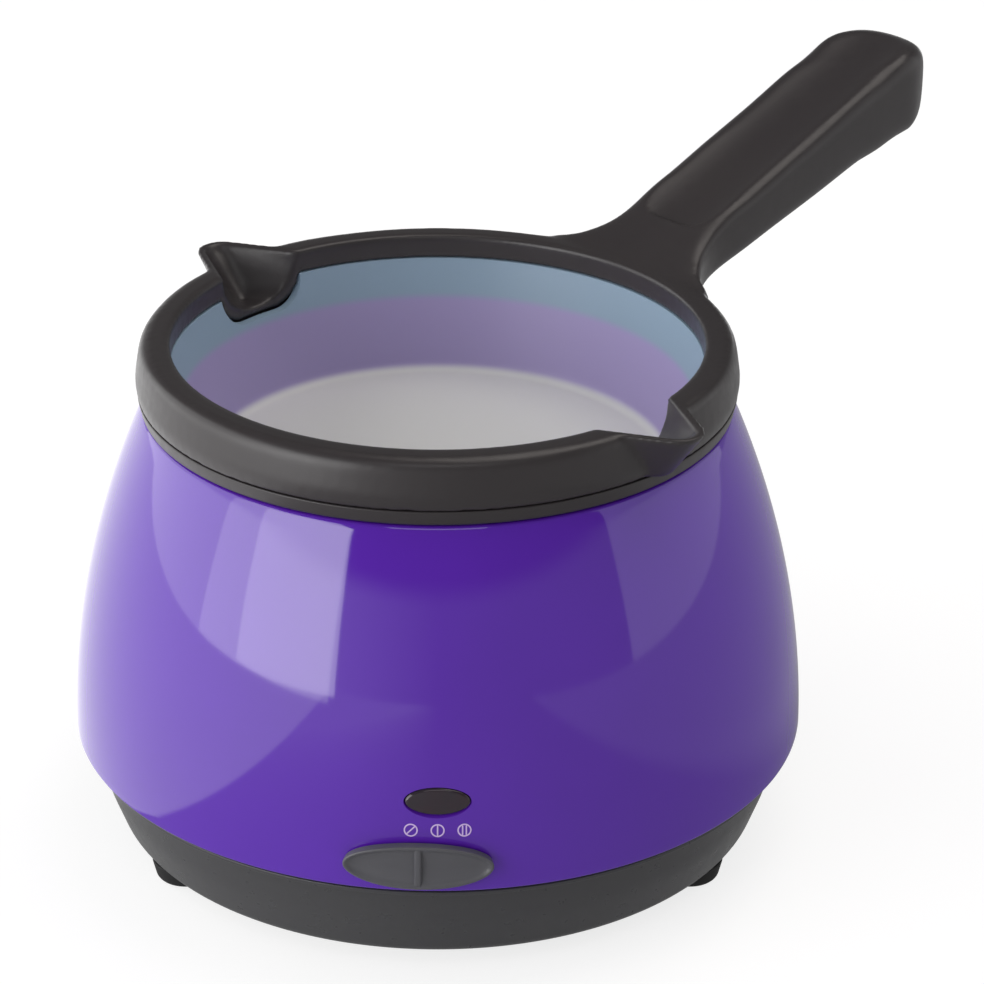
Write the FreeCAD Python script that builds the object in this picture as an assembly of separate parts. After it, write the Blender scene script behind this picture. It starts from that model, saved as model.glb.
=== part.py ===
import FreeCAD, Part
import math
import os

# Electric candy melting pot: a heated base with a lift-out pot.
# Millimetres. The origin is on the table, on the pot's axis. +Z is up.
# The switch faces -Y. The handle points to HANDLE_AZIMUTH.

# Heights, from the table upwards
FOOT_HEIGHT = 5.8
PAN_HEIGHT = 25.7
SHADOW_GAP = 0.5
HOUSING_HEIGHT = 95.0
RETAINER_HEIGHT = 4.3
FRAME_HEIGHT = 13.7
BOWL_DEPTH = 38.4

# Main radii
MOUTH_RADIUS = 72.0
BOWL_FLOOR_RADIUS = 64.0
WELL_FLOOR_RADIUS = 67.5
PAN_SIDE_RADIUS = 96.5
HEATER_PAD_RADIUS = 59.0
PAN_FLOOR_INSET = 6.9
PAN_RIM_OVERHANG = 3.1
HOUSING_OVERHANG = 2.0
HOUSING_BULGE_SHARE = 0.2385

# Walls
HOUSING_WALL = 2.6
PAN_WALL = 2.4
WELL_WALL = 1.6
LINER_WALL = 1.8
LINER_FLOOR = 2.2
LINER_FLANGE = 2.0
RETAINER_RIB_WALL = 2.4
FRAME_SKIRT_WALL = 5.2
HANDLE_WALL = 3.0
SPOUT_WALL = 2.4

# Clearances
RUNNING_GAP = 0.3
SEAT_GAP = 0.2
HOLE_CLEARANCE = 0.1

# Pouring spouts, one on each side of the handle
HANDLE_AZIMUTH = 45.0
SPOUT_AZIMUTHS = (135.0, -45.0)
SPOUT_REACH = 94.2
SPOUT_KEEL_REACH = 84.0
SPOUT_MOUTH_HALF = 13.3
SPOUT_DEPTH = 13.0
SPOUT_TIP_RADIUS = 7.0
SPOUT_APRON = 2.5
SPOUT_FLANK_DRAFT = 3.0
APRON_SIDE = 1.4
APRON_CORNER = 9.0
SPOUT_FLOOR_SLOPE = 0.95

# Handle, measured along its own direction from the pot's axis
HANDLE_REACH = 197.0
HANDLE_HALF_WIDTH = 16.2
HANDLE_END_HALF_WIDTH = 16.6
HANDLE_FLARE_RADIUS = 24.0
HANDLE_NECK = 98.0
HANDLE_TOP_RISE = 0.359
HANDLE_TOP_START = 84.5
HANDLE_TOP_LIFT = 5.3
HANDLE_UNDER_RISE = 0.252
HANDLE_UNDER_START = 89.0
HANDLE_UNDER_DROP = 9.0
HANDLE_END_LENGTH = 16.6
HANDLE_END_RISE = 1.6
HANDLE_END_SQUARENESS = 2.1
HANDLE_END_TALL_SQUARENESS = 3.2
HANDLE_TOP_SQUARENESS = 5.5
HANDLE_UNDER_SQUARENESS = 5.0
SECTION_POINTS = 32
DISH_START = 93.0
DISH_DEPTH = 2.2
DISH_RADIUS = 42.0
COVER_START = 106.0
COVER_LENGTH = 72.0
COVER_HALF_WIDTH = 9.0
COVER_THICKNESS = 2.2
COVER_SET_IN = 0.9
COVER_CORNER = 7.0
COVER_SCREW_INSET = 9.0
COVER_SCREW_RADIUS = 1.25
COVER_SCREW_LENGTH = 7.5
COVER_SCREW_HEAD = 1.1
COVER_BOSS_RADIUS = 3.2

# Controls on the front of the housing
LENS_HEIGHT = 58.0
LENS_WIDTH = 17.5
LENS_TALL = 8.0
LENS_BEVEL = 0.6
LENS_LEDGE = 1.2
LENS_FLANGE = 3.5
LENS_FLANGE_THICKNESS = 1.3
LAMP_RADIUS = 3.0
LAMP_LENGTH = 15.0
LAMP_SETBACK = 8.7
LAMP_LEAD_RADIUS = 0.35
LAMP_LEAD_LENGTH = 5.0
HOLDER_WALL = 3.4
SWITCH_HEIGHT = 40.6
SLIDER_WIDTH = 38.6
SLIDER_TALL = 12.7
SLIDER_PROUD = 2.8
SLIDER_STEP_ANGLE = 2.8
STEM_WIDTH = 3.0
STEM_TALL = 4.0
STEM_REACH = 8.6
FORK_GAP = 0.35
FORK_WALL = 1.6
SWITCH_DEPTH = 7.0
SWITCH_WALL = 2.3
SWITCH_EAR_PITCH = 34.0
SWITCH_EAR_TALL = 8.0
SWITCH_SCREW_RADIUS = 1.25
SWITCH_SCREW_LENGTH = 5.0
SWITCH_POST_RADIUS = 3.0
BLADE_COUNT = 3
BLADE_PITCH = 5.5
BLADE_WIDTH = 2.8
BLADE_THICKNESS = 0.8
BLADE_LENGTH = 6.0

# Base pan
PAN_RIM_THICKNESS = 1.2
TONGUE_HEIGHT = 4.0
TONGUE_WALL = 1.8
POST_HEIGHT = 10.3
POST_ROOF = 2.5
VENT_COUNT = 7
VENT_PITCH = 8.0
VENT_WIDTH = 3.0
VENT_LENGTH = 34.0

# Feet, fasteners and fittings
FOOT_COUNT = 3
FOOT_RADIUS = 9.5
FOOT_INSET = 16.5
FOOT_STEM_RADIUS = 3.0
BASE_SCREW_COUNT = 4
BASE_SCREW_INSET = 13.5
BASE_SCREW_RADIUS = 1.5
BASE_SCREW_LENGTH = 14.0
BOSS_RADIUS = 4.4
BOSS_HEIGHT = 26.0
RING_SCREW_ANGLES = (0.0, 45.0, 90.0, 180.0, 225.0, 270.0)
RING_SCREW_RADIUS = 1.0
RING_SCREW_LENGTH = 9.0
RING_SCREW_SINK = 2.0
HEATER_SCREW_COUNT = 3
HEATER_SCREW_RADIUS = 1.5
HEATER_SCREW_LENGTH = 5.0
THERMOSTAT_RADIUS = 8.0
THERMOSTAT_STRAP = 0.8
THERMOSTAT_STRAP_HALF = 4.5
SENSOR_SCREW_RADIUS = 1.25
FUSE_RADIUS = 2.0
FUSE_LENGTH = 12.0
FUSE_LEAD_RADIUS = 0.5
FUSE_LEAD_LENGTH = 6.0
FUSE_Y = -22.0
CLIP_SHEET = 0.6
CLIP_WIDTH = 5.0
BLOCK_Y = 52.0
BLOCK_LENGTH = 30.0
BLOCK_WIDTH = 14.0
BLOCK_HEIGHT = 11.0
BLOCK_PITCH = 22.0
BLOCK_LIFT = 4.0
BLOCK_SCREW_RADIUS = 1.25
BLOCK_SCREW_LENGTH = 9.5
CORD_RADIUS = 3.1
GLAND_HEIGHT = 19.0
GLAND_WALL = 2.2
GLAND_COLLAR = 2.4
GLAND_KEEPER = 1.6

# Levels worked out from the stack
PAN_BOTTOM = FOOT_HEIGHT
PAN_TOP = PAN_BOTTOM + PAN_HEIGHT
PAN_FLOOR_TOP = PAN_BOTTOM + PAN_WALL
HOUSING_BOTTOM = PAN_TOP + SHADOW_GAP
REST_PLANE = HOUSING_BOTTOM + HOUSING_HEIGHT
PARTING = REST_PLANE + RETAINER_HEIGHT
POT_TOP = PARTING + FRAME_HEIGHT
BOWL_FLOOR = POT_TOP - BOWL_DEPTH
LINER_BOTTOM = BOWL_FLOOR - LINER_FLOOR
FLANGE_TOP = PARTING + 6.7
FLANGE_BOTTOM = FLANGE_TOP - LINER_FLANGE
POST_TOP = PAN_FLOOR_TOP + POST_HEIGHT
SCREW_SEAT = POST_TOP - POST_ROOF
BOSS_TOP = HOUSING_BOTTOM + BOSS_HEIGHT
BLOCK_SEAT = PAN_FLOOR_TOP + BLOCK_LIFT
APRON_BOTTOM = POT_TOP - SPOUT_DEPTH - SPOUT_APRON
COVER_LEDGE = COVER_SET_IN + COVER_THICKNESS
COVER_SCREW_SEAT = COVER_LEDGE - COVER_SCREW_HEAD

# Radii worked out from the mouth outwards
LINER_OUTER = MOUTH_RADIUS + LINER_WALL
RETAINER_INNER = LINER_OUTER + SEAT_GAP
RIB_OUTER = RETAINER_INNER + RETAINER_RIB_WALL
SKIRT_INNER = RIB_OUTER + SEAT_GAP
RING_OUTER = SKIRT_INNER + FRAME_SKIRT_WALL
RING_PITCH = SKIRT_INNER + 1.7
ROOT_RADIUS = SKIRT_INNER + 0.6
APRON_HALF = SPOUT_MOUTH_HALF + APRON_SIDE
WELL_MOUTH = RETAINER_INNER
WELL_OUTER = WELL_MOUTH + WELL_WALL
WELL_FLANGE = 1.6
WELL_FLANGE_RADIUS = WELL_OUTER + 2.0
HOUSING_REBATE = WELL_FLANGE_RADIUS + SEAT_GAP
HOUSING_TOP_RADIUS = HOUSING_REBATE + 2.0

# Radii worked out from the pan's side
PAN_FLOOR_RADIUS = PAN_SIDE_RADIUS - PAN_FLOOR_INSET
PAN_RIM_RADIUS = PAN_SIDE_RADIUS + PAN_RIM_OVERHANG
HOUSING_BASE_RADIUS = PAN_RIM_RADIUS + HOUSING_OVERHANG
HOUSING_BULGE = HOUSING_BULGE_SHARE * (HOUSING_BASE_RADIUS - HOUSING_TOP_RADIUS)
FOOT_PITCH_RADIUS = PAN_SIDE_RADIUS - FOOT_INSET
BASE_SCREW_PITCH_RADIUS = PAN_SIDE_RADIUS - BASE_SCREW_INSET
FORK_RADIUS = HOUSING_BASE_RADIUS - STEM_REACH

# Heater stack, hung under the well's floor
PLATE_PAD = 1.6
PLATE_FLANGE = 1.8
WELL_FLOOR = LINER_BOTTOM - PLATE_PAD - PLATE_FLANGE
WELL_FLOOR_WALL = 2.0
WELL_FLOOR_UNDER = WELL_FLOOR - WELL_FLOOR_WALL
SPIGOT_RADIUS = HEATER_PAD_RADIUS - 3.0
HEATER_RECESS_RADIUS = SPIGOT_RADIUS - 7.0
HEATER_RECESS_TOP = WELL_FLOOR + 0.4
MICA_THICKNESS = 1.2
PAD_THICKNESS = HEATER_RECESS_TOP - WELL_FLOOR_UNDER - MICA_THICKNESS
CLAMP_THICKNESS = 1.0
CLAMP_UNDER = WELL_FLOOR_UNDER - CLAMP_THICKNESS
CLAMP_RADIUS = SPIGOT_RADIUS + 4.0
CLAMP_BEAD_RADIUS = CLAMP_RADIUS / 2
SENSOR_HOLE = THERMOSTAT_RADIUS + 2.5
HEATER_SCREW_PITCH = (SPIGOT_RADIUS + HEATER_RECESS_RADIUS) / 2
TAB_OFFSET = 9.0
TAB_RADIUS = 36.0
TAB_WIDTH = 6.3
TAB_THICKNESS = 0.8
TAB_LENGTH = 11.0
TAB_CLEARANCE = 1.2
SCREW_HEAD_RADIUS = BASE_SCREW_RADIUS * 2
SCREW_HEAD_HEIGHT = BASE_SCREW_RADIUS * 1.3
THERMOSTAT_EAR = THERMOSTAT_RADIUS + 6.0
FUSE_Z = CLAMP_UNDER - FUSE_RADIUS
CLIP_SCREW_X = FUSE_RADIUS + 4.4
GLAND_BODY_RADIUS = CORD_RADIUS + GLAND_WALL

# Switch, worked out from the slider's stem
LEVER_HALF = STEM_WIDTH / 2 + FORK_GAP + FORK_WALL
LEVER_TRAVEL = FORK_RADIUS * math.radians(2 * SLIDER_STEP_ANGLE)
LEVER_TALL = STEM_TALL + 1.0
SWITCH_SEAT_Y = -FORK_RADIUS + 3.0
SWITCH_BACK_Y = SWITCH_SEAT_Y + SWITCH_DEPTH

V = FreeCAD.Vector
Z_AXIS = V(0, 0, 1)
ORIGIN = V(0, 0, 0)


def polar(radius, azimuth, z=0.0):
    """Point at a radius and azimuth about the pot's axis."""
    turn = math.radians(azimuth)
    return V(radius * math.cos(turn), radius * math.sin(turn), z)


def turned(shape, azimuth):
    """Copy of a shape turned about the pot's axis."""
    copy = shape.copy()
    copy.rotate(ORIGIN, Z_AXIS, azimuth)
    return copy


def cylinder(radius, low, high, x=0.0, y=0.0):
    """Upright cylinder between two heights."""
    return Part.makeCylinder(radius, high - low, V(x, y, low))


def box(low, high):
    """Box between two opposite corners."""
    size = V(*high) - V(*low)
    return Part.makeBox(size.x, size.y, size.z, V(*low))


def rounded_wire(corners, place):
    """Closed wire through corners (a, b, radius); place puts (a, b) in space."""
    edges = []
    ends = []
    count = len(corners)
    for index, (a, b, radius) in enumerate(corners):
        before = corners[index - 1]
        after = corners[(index + 1) % count]
        corner = V(a, b, 0)
        back = (V(before[0], before[1], 0) - corner).normalize()
        ahead = (V(after[0], after[1], 0) - corner).normalize()
        if radius <= 0:
            ends.append((corner, None, corner))
            continue
        half = back.getAngle(ahead) / 2
        reach = radius / math.tan(half)
        centre = corner + (back + ahead).normalize() * (radius / math.sin(half))
        middle = centre + (corner - centre).normalize() * radius
        ends.append((corner + back * reach, middle, corner + ahead * reach))
    for index, (start, middle, finish) in enumerate(ends):
        if middle is not None:
            edges.append(Part.Arc(place(start), place(middle), place(finish)).toShape())
        following = ends[(index + 1) % count][0]
        if (following - finish).Length > 1e-6:
            edges.append(Part.makeLine(place(finish), place(following)))
    return Part.Wire(edges)


def on_profile(point):
    """Place (radius, height) on the XZ plane."""
    return V(point.x, 0, point.y)


def spun(corners):
    """Solid of revolution of a rounded (radius, height) profile."""
    face = Part.Face(rounded_wire(corners, on_profile))
    return face.revolve(ORIGIN, Z_AXIS, 360)


def plan_prism(corners, low, high):
    """Upright prism of a rounded (x, y) outline."""
    wire = rounded_wire(corners, lambda point: V(point.x, point.y, low))
    return Part.Face(wire).extrude(V(0, 0, high - low))


def front_oval(width, tall, height, near, far):
    """Elliptical bar along Y, centred on the front at a height."""
    ellipse = Part.Ellipse(ORIGIN, width / 2, tall / 2)
    wire = Part.Wire([ellipse.toShape()])
    wire.rotate(ORIGIN, V(1, 0, 0), 90)
    wire.translate(V(0, -far, height))
    return Part.Face(wire).extrude(V(0, far - near, 0))


def rod_y(radius, x, z, start, finish):
    """Cylinder along +Y between two y values."""
    return Part.makeCylinder(radius, finish - start, V(x, start, z), V(0, 1, 0))


def rod_x(radius, y, z, start, finish):
    """Cylinder along +X between two x values."""
    return Part.makeCylinder(radius, finish - start, V(start, y, z), V(1, 0, 0))


def screw_up(radius, length, head_radius, head_height, seat):
    """Pan-head screw on the axis, driven upwards, its head below seat."""
    bevel = head_height * 0.4
    head = spun([
        (0, seat - head_height, 0),
        (head_radius - bevel, seat - head_height, 0),
        (head_radius, seat - head_height + bevel, 0),
        (head_radius, seat, 0),
        (0, seat, 0),
    ])
    drive = box((-head_radius, -0.4, seat - head_height), (head_radius, 0.4, seat - head_height / 2))
    shank = spun([
        (0, seat, 0),
        (radius, seat, 0),
        (radius, seat + length - radius, 0),
        (0, seat + length, 0),
    ])
    return head.cut(drive).fuse(shank)


def ring_of(shape, radius, azimuths):
    """Copies of an on-axis shape, one at each azimuth."""
    copies = []
    for azimuth in azimuths:
        copy = shape.copy()
        copy.translate(V(radius, 0, 0))
        copies.append(turned(copy, azimuth))
    return copies


def housing_radius(height):
    """Outer radius of the housing at a height."""
    share = (height - HOUSING_BOTTOM) / HOUSING_HEIGHT
    chord = HOUSING_BASE_RADIUS + (HOUSING_TOP_RADIUS - HOUSING_BASE_RADIUS) * share
    return chord + 4 * HOUSING_BULGE * share * (1 - share)


def housing_form(inset, low, high):
    """Solid of revolution inside the housing's outer curve, set in by inset."""
    middle = (low + high) / 2
    arc = Part.Arc(
        V(housing_radius(low) - inset, 0, low),
        V(housing_radius(middle) - inset, 0, middle),
        V(housing_radius(high) - inset, 0, high),
    )
    start = arc.StartPoint
    finish = arc.EndPoint
    outline = Part.Wire([
        Part.makeLine(V(0, 0, low), start),
        arc.toShape(),
        Part.makeLine(finish, V(0, 0, high)),
        Part.makeLine(V(0, 0, high), V(0, 0, low)),
    ])
    return Part.Face(outline).revolve(ORIGIN, Z_AXIS, 360)


def pan_form(inset):
    """Pan's outer form without its rim, set in by inset."""
    low = PAN_BOTTOM + inset
    shoulder = (PAN_FLOOR_RADIUS + PAN_SIDE_RADIUS) / 2 + 1.3 - inset
    middle = (PAN_BOTTOM + PAN_TOP) / 2
    wire = rounded_wire([
        (0, low, 0),
        (PAN_FLOOR_RADIUS - inset, low, 4.5 - inset * 0.5),
        (shoulder, middle, 40.0),
        (PAN_SIDE_RADIUS - inset, PAN_TOP, 0),
        (0, PAN_TOP, 0),
    ], on_profile)
    return Part.Face(wire).revolve(ORIGIN, Z_AXIS, 360)


def base_screw_azimuths():
    """Azimuths of the base screws, clear of the switch and the cord."""
    step = 360.0 / BASE_SCREW_COUNT
    return [step / 2 + step * index for index in range(BASE_SCREW_COUNT)]


def foot_azimuths():
    """Azimuths of the feet, one of them at the back."""
    return [90.0 + 360.0 / FOOT_COUNT * index for index in range(FOOT_COUNT)]


def base_pan():
    """Grey pan: floor, side, rim, screw wells, foot holes, vents and cord hole."""
    shell = pan_form(0).cut(pan_form(PAN_WALL))
    cavity_top = cylinder(PAN_SIDE_RADIUS - PAN_WALL, PAN_TOP - PAN_WALL, PAN_TOP)
    rim_low = PAN_TOP - PAN_RIM_THICKNESS
    rim = cylinder(PAN_RIM_RADIUS, rim_low, PAN_TOP).cut(cylinder(PAN_SIDE_RADIUS - 1, 0, PAN_TOP))
    tongue_outer = housing_radius(HOUSING_BOTTOM) - HOUSING_WALL - RUNNING_GAP
    tongue_top = PAN_TOP + TONGUE_HEIGHT
    tongue = cylinder(tongue_outer, rim_low, tongue_top)
    tongue = tongue.cut(cylinder(tongue_outer - TONGUE_WALL, 0, tongue_top))
    shell = shell.cut(cavity_top).fuse(rim).fuse(tongue)
    post = cylinder(BOSS_RADIUS, PAN_BOTTOM + 1, POST_TOP)
    well = cylinder(SCREW_HEAD_RADIUS + 0.5, 0, SCREW_SEAT)
    hole = cylinder(BASE_SCREW_RADIUS + SEAT_GAP, 0, POST_TOP)
    for part in ring_of(post, BASE_SCREW_PITCH_RADIUS, base_screw_azimuths()):
        shell = shell.fuse(part)
    for part in ring_of(well.fuse(hole), BASE_SCREW_PITCH_RADIUS, base_screw_azimuths()):
        shell = shell.cut(part)
    foot_hole = cylinder(FOOT_STEM_RADIUS + HOLE_CLEARANCE, 0, PAN_FLOOR_TOP + 1)
    for part in ring_of(foot_hole, FOOT_PITCH_RADIUS, foot_azimuths()):
        shell = shell.cut(part)
    for index in range(VENT_COUNT):
        shell = shell.cut(vent_slot(index))
    for x in (-BLOCK_PITCH / 2, BLOCK_PITCH / 2):
        shell = shell.fuse(cylinder(BLOCK_SCREW_RADIUS * 2.4, PAN_FLOOR_TOP - 1, BLOCK_SEAT, x, BLOCK_Y))
        pilot = cylinder(BLOCK_SCREW_RADIUS + HOLE_CLEARANCE, PAN_FLOOR_TOP, BLOCK_SEAT, x, BLOCK_Y)
        shell = shell.cut(pilot)
    hole_radius = GLAND_BODY_RADIUS + HOLE_CLEARANCE
    gland_hole = rod_y(hole_radius, 0, GLAND_HEIGHT, PAN_SIDE_RADIUS - 20, PAN_RIM_RADIUS)
    return shell.cut(gland_hole).removeSplitter()


def vent_slot(index):
    """One round-ended vent in the pan's floor."""
    x = (index - (VENT_COUNT - 1) / 2) * VENT_PITCH
    half = VENT_LENGTH / 2
    edge = VENT_WIDTH / 2
    round_end = edge * 0.98
    return plan_prism([
        (x - edge, -half, round_end),
        (x + edge, -half, round_end),
        (x + edge, half, round_end),
        (x - edge, half, round_end),
    ], 0, PAN_FLOOR_TOP + 1)


def rubber_feet():
    """Push-in rubber feet with a barbed stem through the pan's floor."""
    foot = spun([
        (0, 0, 0),
        (FOOT_RADIUS - 1.4, 0, 2.6),
        (FOOT_RADIUS, PAN_BOTTOM, 0),
        (FOOT_STEM_RADIUS, PAN_BOTTOM, 0),
        (FOOT_STEM_RADIUS, PAN_FLOOR_TOP + SEAT_GAP, 0),
        (FOOT_STEM_RADIUS + 1, PAN_FLOOR_TOP + SEAT_GAP, 0),
        (FOOT_STEM_RADIUS - 0.8, PAN_FLOOR_TOP + 3.2, 0.4),
        (0, PAN_FLOOR_TOP + 3.2, 0),
    ])
    return Part.Compound(ring_of(foot, FOOT_PITCH_RADIUS, foot_azimuths()))


def base_screws():
    """Screws from under the pan into the housing's bosses."""
    head = (SCREW_HEAD_RADIUS, SCREW_HEAD_HEIGHT)
    screw = screw_up(BASE_SCREW_RADIUS, BASE_SCREW_LENGTH, *head, SCREW_SEAT)
    return Part.Compound(ring_of(screw, BASE_SCREW_PITCH_RADIUS, base_screw_azimuths()))


def housing_shell():
    """Glossy tapered housing with its rebated mouth, bosses, slot and window."""
    low = HOUSING_BOTTOM
    high = REST_PLANE
    middle = (low + high) / 2
    shoulder = 1.6
    edge = 1.0
    outer = Part.Arc(
        V(housing_radius(low + edge), 0, low + edge),
        V(housing_radius(middle), 0, middle),
        V(housing_radius(high - shoulder), 0, high - shoulder),
    )
    rim = high - 0.4
    ledge = high - WELL_FLANGE
    opening = WELL_OUTER + RUNNING_GAP
    under = ledge - HOUSING_WALL
    inner = Part.Arc(
        V(housing_radius(under) - HOUSING_WALL, 0, under),
        V(housing_radius(middle) - HOUSING_WALL, 0, middle),
        V(housing_radius(low) - HOUSING_WALL, 0, low),
    )
    top_round = Part.Arc(
        outer.EndPoint,
        V(housing_radius(high - shoulder) - 0.35, 0, rim - 0.4),
        V(housing_radius(high) - 1.0, 0, rim),
    )
    bottom_round = Part.Arc(
        V(housing_radius(low) - edge, 0, low),
        V(housing_radius(low) - edge * 0.3, 0, low + edge * 0.3),
        outer.StartPoint,
    )
    corners = [
        top_round.EndPoint,
        V(HOUSING_REBATE, 0, rim),
        V(HOUSING_REBATE, 0, ledge),
        V(opening, 0, ledge),
        V(opening, 0, under),
        inner.StartPoint,
    ]
    edges = [bottom_round.toShape(), outer.toShape(), top_round.toShape()]
    for start, finish in zip(corners, corners[1:]):
        edges.append(Part.makeLine(start, finish))
    edges.append(inner.toShape())
    edges.append(Part.makeLine(inner.EndPoint, bottom_round.StartPoint))
    shell = Part.Face(Part.Wire(edges)).revolve(ORIGIN, Z_AXIS, 360)
    for part in housing_bosses():
        shell = shell.fuse(part)
    pilot = cylinder(BASE_SCREW_RADIUS + HOLE_CLEARANCE, 0, SCREW_SEAT + BASE_SCREW_LENGTH + 1)
    for part in ring_of(pilot, BASE_SCREW_PITCH_RADIUS, base_screw_azimuths()):
        shell = shell.cut(part)
    for x in (-SWITCH_EAR_PITCH / 2, SWITCH_EAR_PITCH / 2):
        radius = SWITCH_SCREW_RADIUS + HOLE_CLEARANCE
        pilot = rod_y(radius, x, SWITCH_HEIGHT, SWITCH_SEAT_Y - SWITCH_SCREW_LENGTH + 0.5, SWITCH_SEAT_Y)
        shell = shell.cut(pilot)
    return shell.cut(stem_slot()).cut(lens_window()).removeSplitter()


def housing_bosses():
    """Screw bosses and gussets inside the housing, trimmed to its wall."""
    trim = housing_form(HOUSING_WALL * 0.5, POST_TOP - 1, REST_PLANE - 8)
    column = cylinder(BOSS_RADIUS, POST_TOP, BOSS_TOP)
    web = box((0, -1.1, HOUSING_BOTTOM + 5), (22, 1.1, BOSS_TOP))
    parts = []
    for part in ring_of(column.fuse(web), BASE_SCREW_PITCH_RADIUS, base_screw_azimuths()):
        parts.append(part.common(trim))
    for x in (-SWITCH_EAR_PITCH / 2, SWITCH_EAR_PITCH / 2):
        post = rod_y(SWITCH_POST_RADIUS, x, SWITCH_HEIGHT, -HOUSING_BASE_RADIUS, SWITCH_SEAT_Y)
        parts.append(post.common(trim))
    return parts


def stem_slot():
    """Slot through the wall for the slider's stem over its whole travel."""
    half_angle = SLIDER_STEP_ANGLE + math.degrees((STEM_WIDTH / 2 + 0.6) / HOUSING_BASE_RADIUS)
    reach = HOUSING_BASE_RADIUS + 10
    low = SWITCH_HEIGHT - STEM_TALL / 2 - RUNNING_GAP
    high = SWITCH_HEIGHT + STEM_TALL / 2 + RUNNING_GAP
    inner = HOUSING_BASE_RADIUS - 12
    wedge = Part.Face(Part.makePolygon([
        polar(inner, -90 - half_angle, low),
        polar(reach, -90 - half_angle, low),
        polar(reach, -90 + half_angle, low),
        polar(inner, -90 + half_angle, low),
        polar(inner, -90 - half_angle, low),
    ]))
    return wedge.extrude(V(0, 0, high - low))


def lens_window():
    """Oval hole for the lamp lens with a bevelled outer edge."""
    surface = housing_radius(LENS_HEIGHT)
    width = LENS_WIDTH - LENS_LEDGE
    tall = LENS_TALL - LENS_LEDGE
    hole = front_oval(width, tall, LENS_HEIGHT, surface - 8, surface + 4)
    wide = front_oval(LENS_WIDTH + 0.8, LENS_TALL + 0.8, LENS_HEIGHT, surface - LENS_BEVEL, surface + 4)
    return hole.fuse(wide)


def indicator_lens():
    """Smoky lens in the window, held by a curved flange behind the wall."""
    surface = housing_radius(LENS_HEIGHT)
    low = LENS_HEIGHT - LENS_TALL
    high = LENS_HEIGHT + LENS_TALL
    width = LENS_WIDTH - LENS_LEDGE - 2 * SEAT_GAP
    tall = LENS_TALL - LENS_LEDGE - 2 * SEAT_GAP
    back = HOUSING_WALL + HOLE_CLEARANCE + LENS_FLANGE_THICKNESS
    plug = front_oval(width, tall, LENS_HEIGHT, surface - 8, surface + 4)
    plug = plug.common(housing_form(LENS_BEVEL, low, high))
    plug = plug.cut(housing_form(back, low, high))
    wide = LENS_WIDTH + LENS_FLANGE
    flange = front_oval(wide, LENS_TALL + LENS_FLANGE, LENS_HEIGHT, surface - 8, surface + 4)
    flange = flange.common(housing_form(HOUSING_WALL + HOLE_CLEARANCE, low, high))
    flange = flange.cut(housing_form(back, low, high))
    return plug.fuse(flange).removeSplitter()


def lamp_axis():
    """Place of the lamp's axis along Y, behind the lens."""
    return LAMP_SETBACK - housing_radius(LENS_HEIGHT)


def neon_lamp():
    """Small neon tube behind the lens with a sealed tip."""
    axis = lamp_axis()
    glass = rod_x(LAMP_RADIUS, axis, LENS_HEIGHT, -LAMP_LENGTH / 2, LAMP_LENGTH / 2 - 2)
    tip = Part.makeCone(LAMP_RADIUS, 0.8, 3.0, V(LAMP_LENGTH / 2 - 2, axis, LENS_HEIGHT), V(1, 0, 0))
    leads = []
    for z in (LENS_HEIGHT - 1, LENS_HEIGHT + 1):
        end = -LAMP_LENGTH / 2
        leads.append(rod_x(LAMP_LEAD_RADIUS, axis, z, end - LAMP_LEAD_LENGTH, end))
    return glass.fuse(tip).fuse(leads[0]).fuse(leads[1])


def lamp_holder():
    """Reflector box behind the lens with the bore that holds the lamp."""
    axis = lamp_axis()
    half_width = LENS_WIDTH / 2 + HOLDER_WALL
    half_tall = LENS_TALL / 2 + HOLDER_WALL
    back = axis + LAMP_RADIUS + 2.5
    low = LENS_HEIGHT - half_tall
    high = LENS_HEIGHT + half_tall
    block = box((-half_width, -HOUSING_BASE_RADIUS, low), (half_width, back, high))
    block = block.common(housing_form(HOUSING_WALL + HOLE_CLEARANCE, low - 2, high + 2))
    grow = LENS_FLANGE + 2 * RUNNING_GAP
    window = front_oval(LENS_WIDTH + grow, LENS_TALL + grow, LENS_HEIGHT, -axis, HOUSING_BASE_RADIUS)
    bore = rod_x(LAMP_RADIUS + HOLE_CLEARANCE, axis, LENS_HEIGHT, -half_width - 1, half_width - 2)
    return block.cut(window).cut(bore)


def slider_arc(inner, outer):
    """Band of the slider between two radii, cut to its oval outline."""
    low = SWITCH_HEIGHT - SLIDER_TALL
    high = SWITCH_HEIGHT + SLIDER_TALL
    band = cylinder(outer, low, high).cut(cylinder(inner, low, high))
    return band.common(front_oval(SLIDER_WIDTH, SLIDER_TALL, SWITCH_HEIGHT, inner - 8, outer + 4))


def switch_slider():
    """Dished oval thumb slider with a centre rib and a stem through the slot."""
    inner = HOUSING_BASE_RADIUS + RUNNING_GAP
    outer = HOUSING_BASE_RADIUS + SLIDER_PROUD
    plate = slider_arc(inner, outer)
    dish = front_oval(SLIDER_WIDTH - 3.4, SLIDER_TALL - 3.0, SWITCH_HEIGHT, inner - 8, outer + 4)
    floor = cylinder(outer - 1.3, SWITCH_HEIGHT - SLIDER_TALL, SWITCH_HEIGHT + SLIDER_TALL)
    plate = plate.cut(dish.cut(floor))
    rib_half = SLIDER_TALL / 2 - 0.5
    rib = box((-1.2, -outer, SWITCH_HEIGHT - rib_half), (1.2, -inner, SWITCH_HEIGHT + rib_half))
    rib = rib.common(cylinder(outer, 0, REST_PLANE))
    half = STEM_WIDTH / 2
    half_tall = STEM_TALL / 2
    stem = box(
        (-half, -inner - 0.5, SWITCH_HEIGHT - half_tall),
        (half, -FORK_RADIUS, SWITCH_HEIGHT + half_tall),
    )
    return turned(plate.fuse(rib).fuse(stem).removeSplitter(), -SLIDER_STEP_ANGLE)


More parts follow.
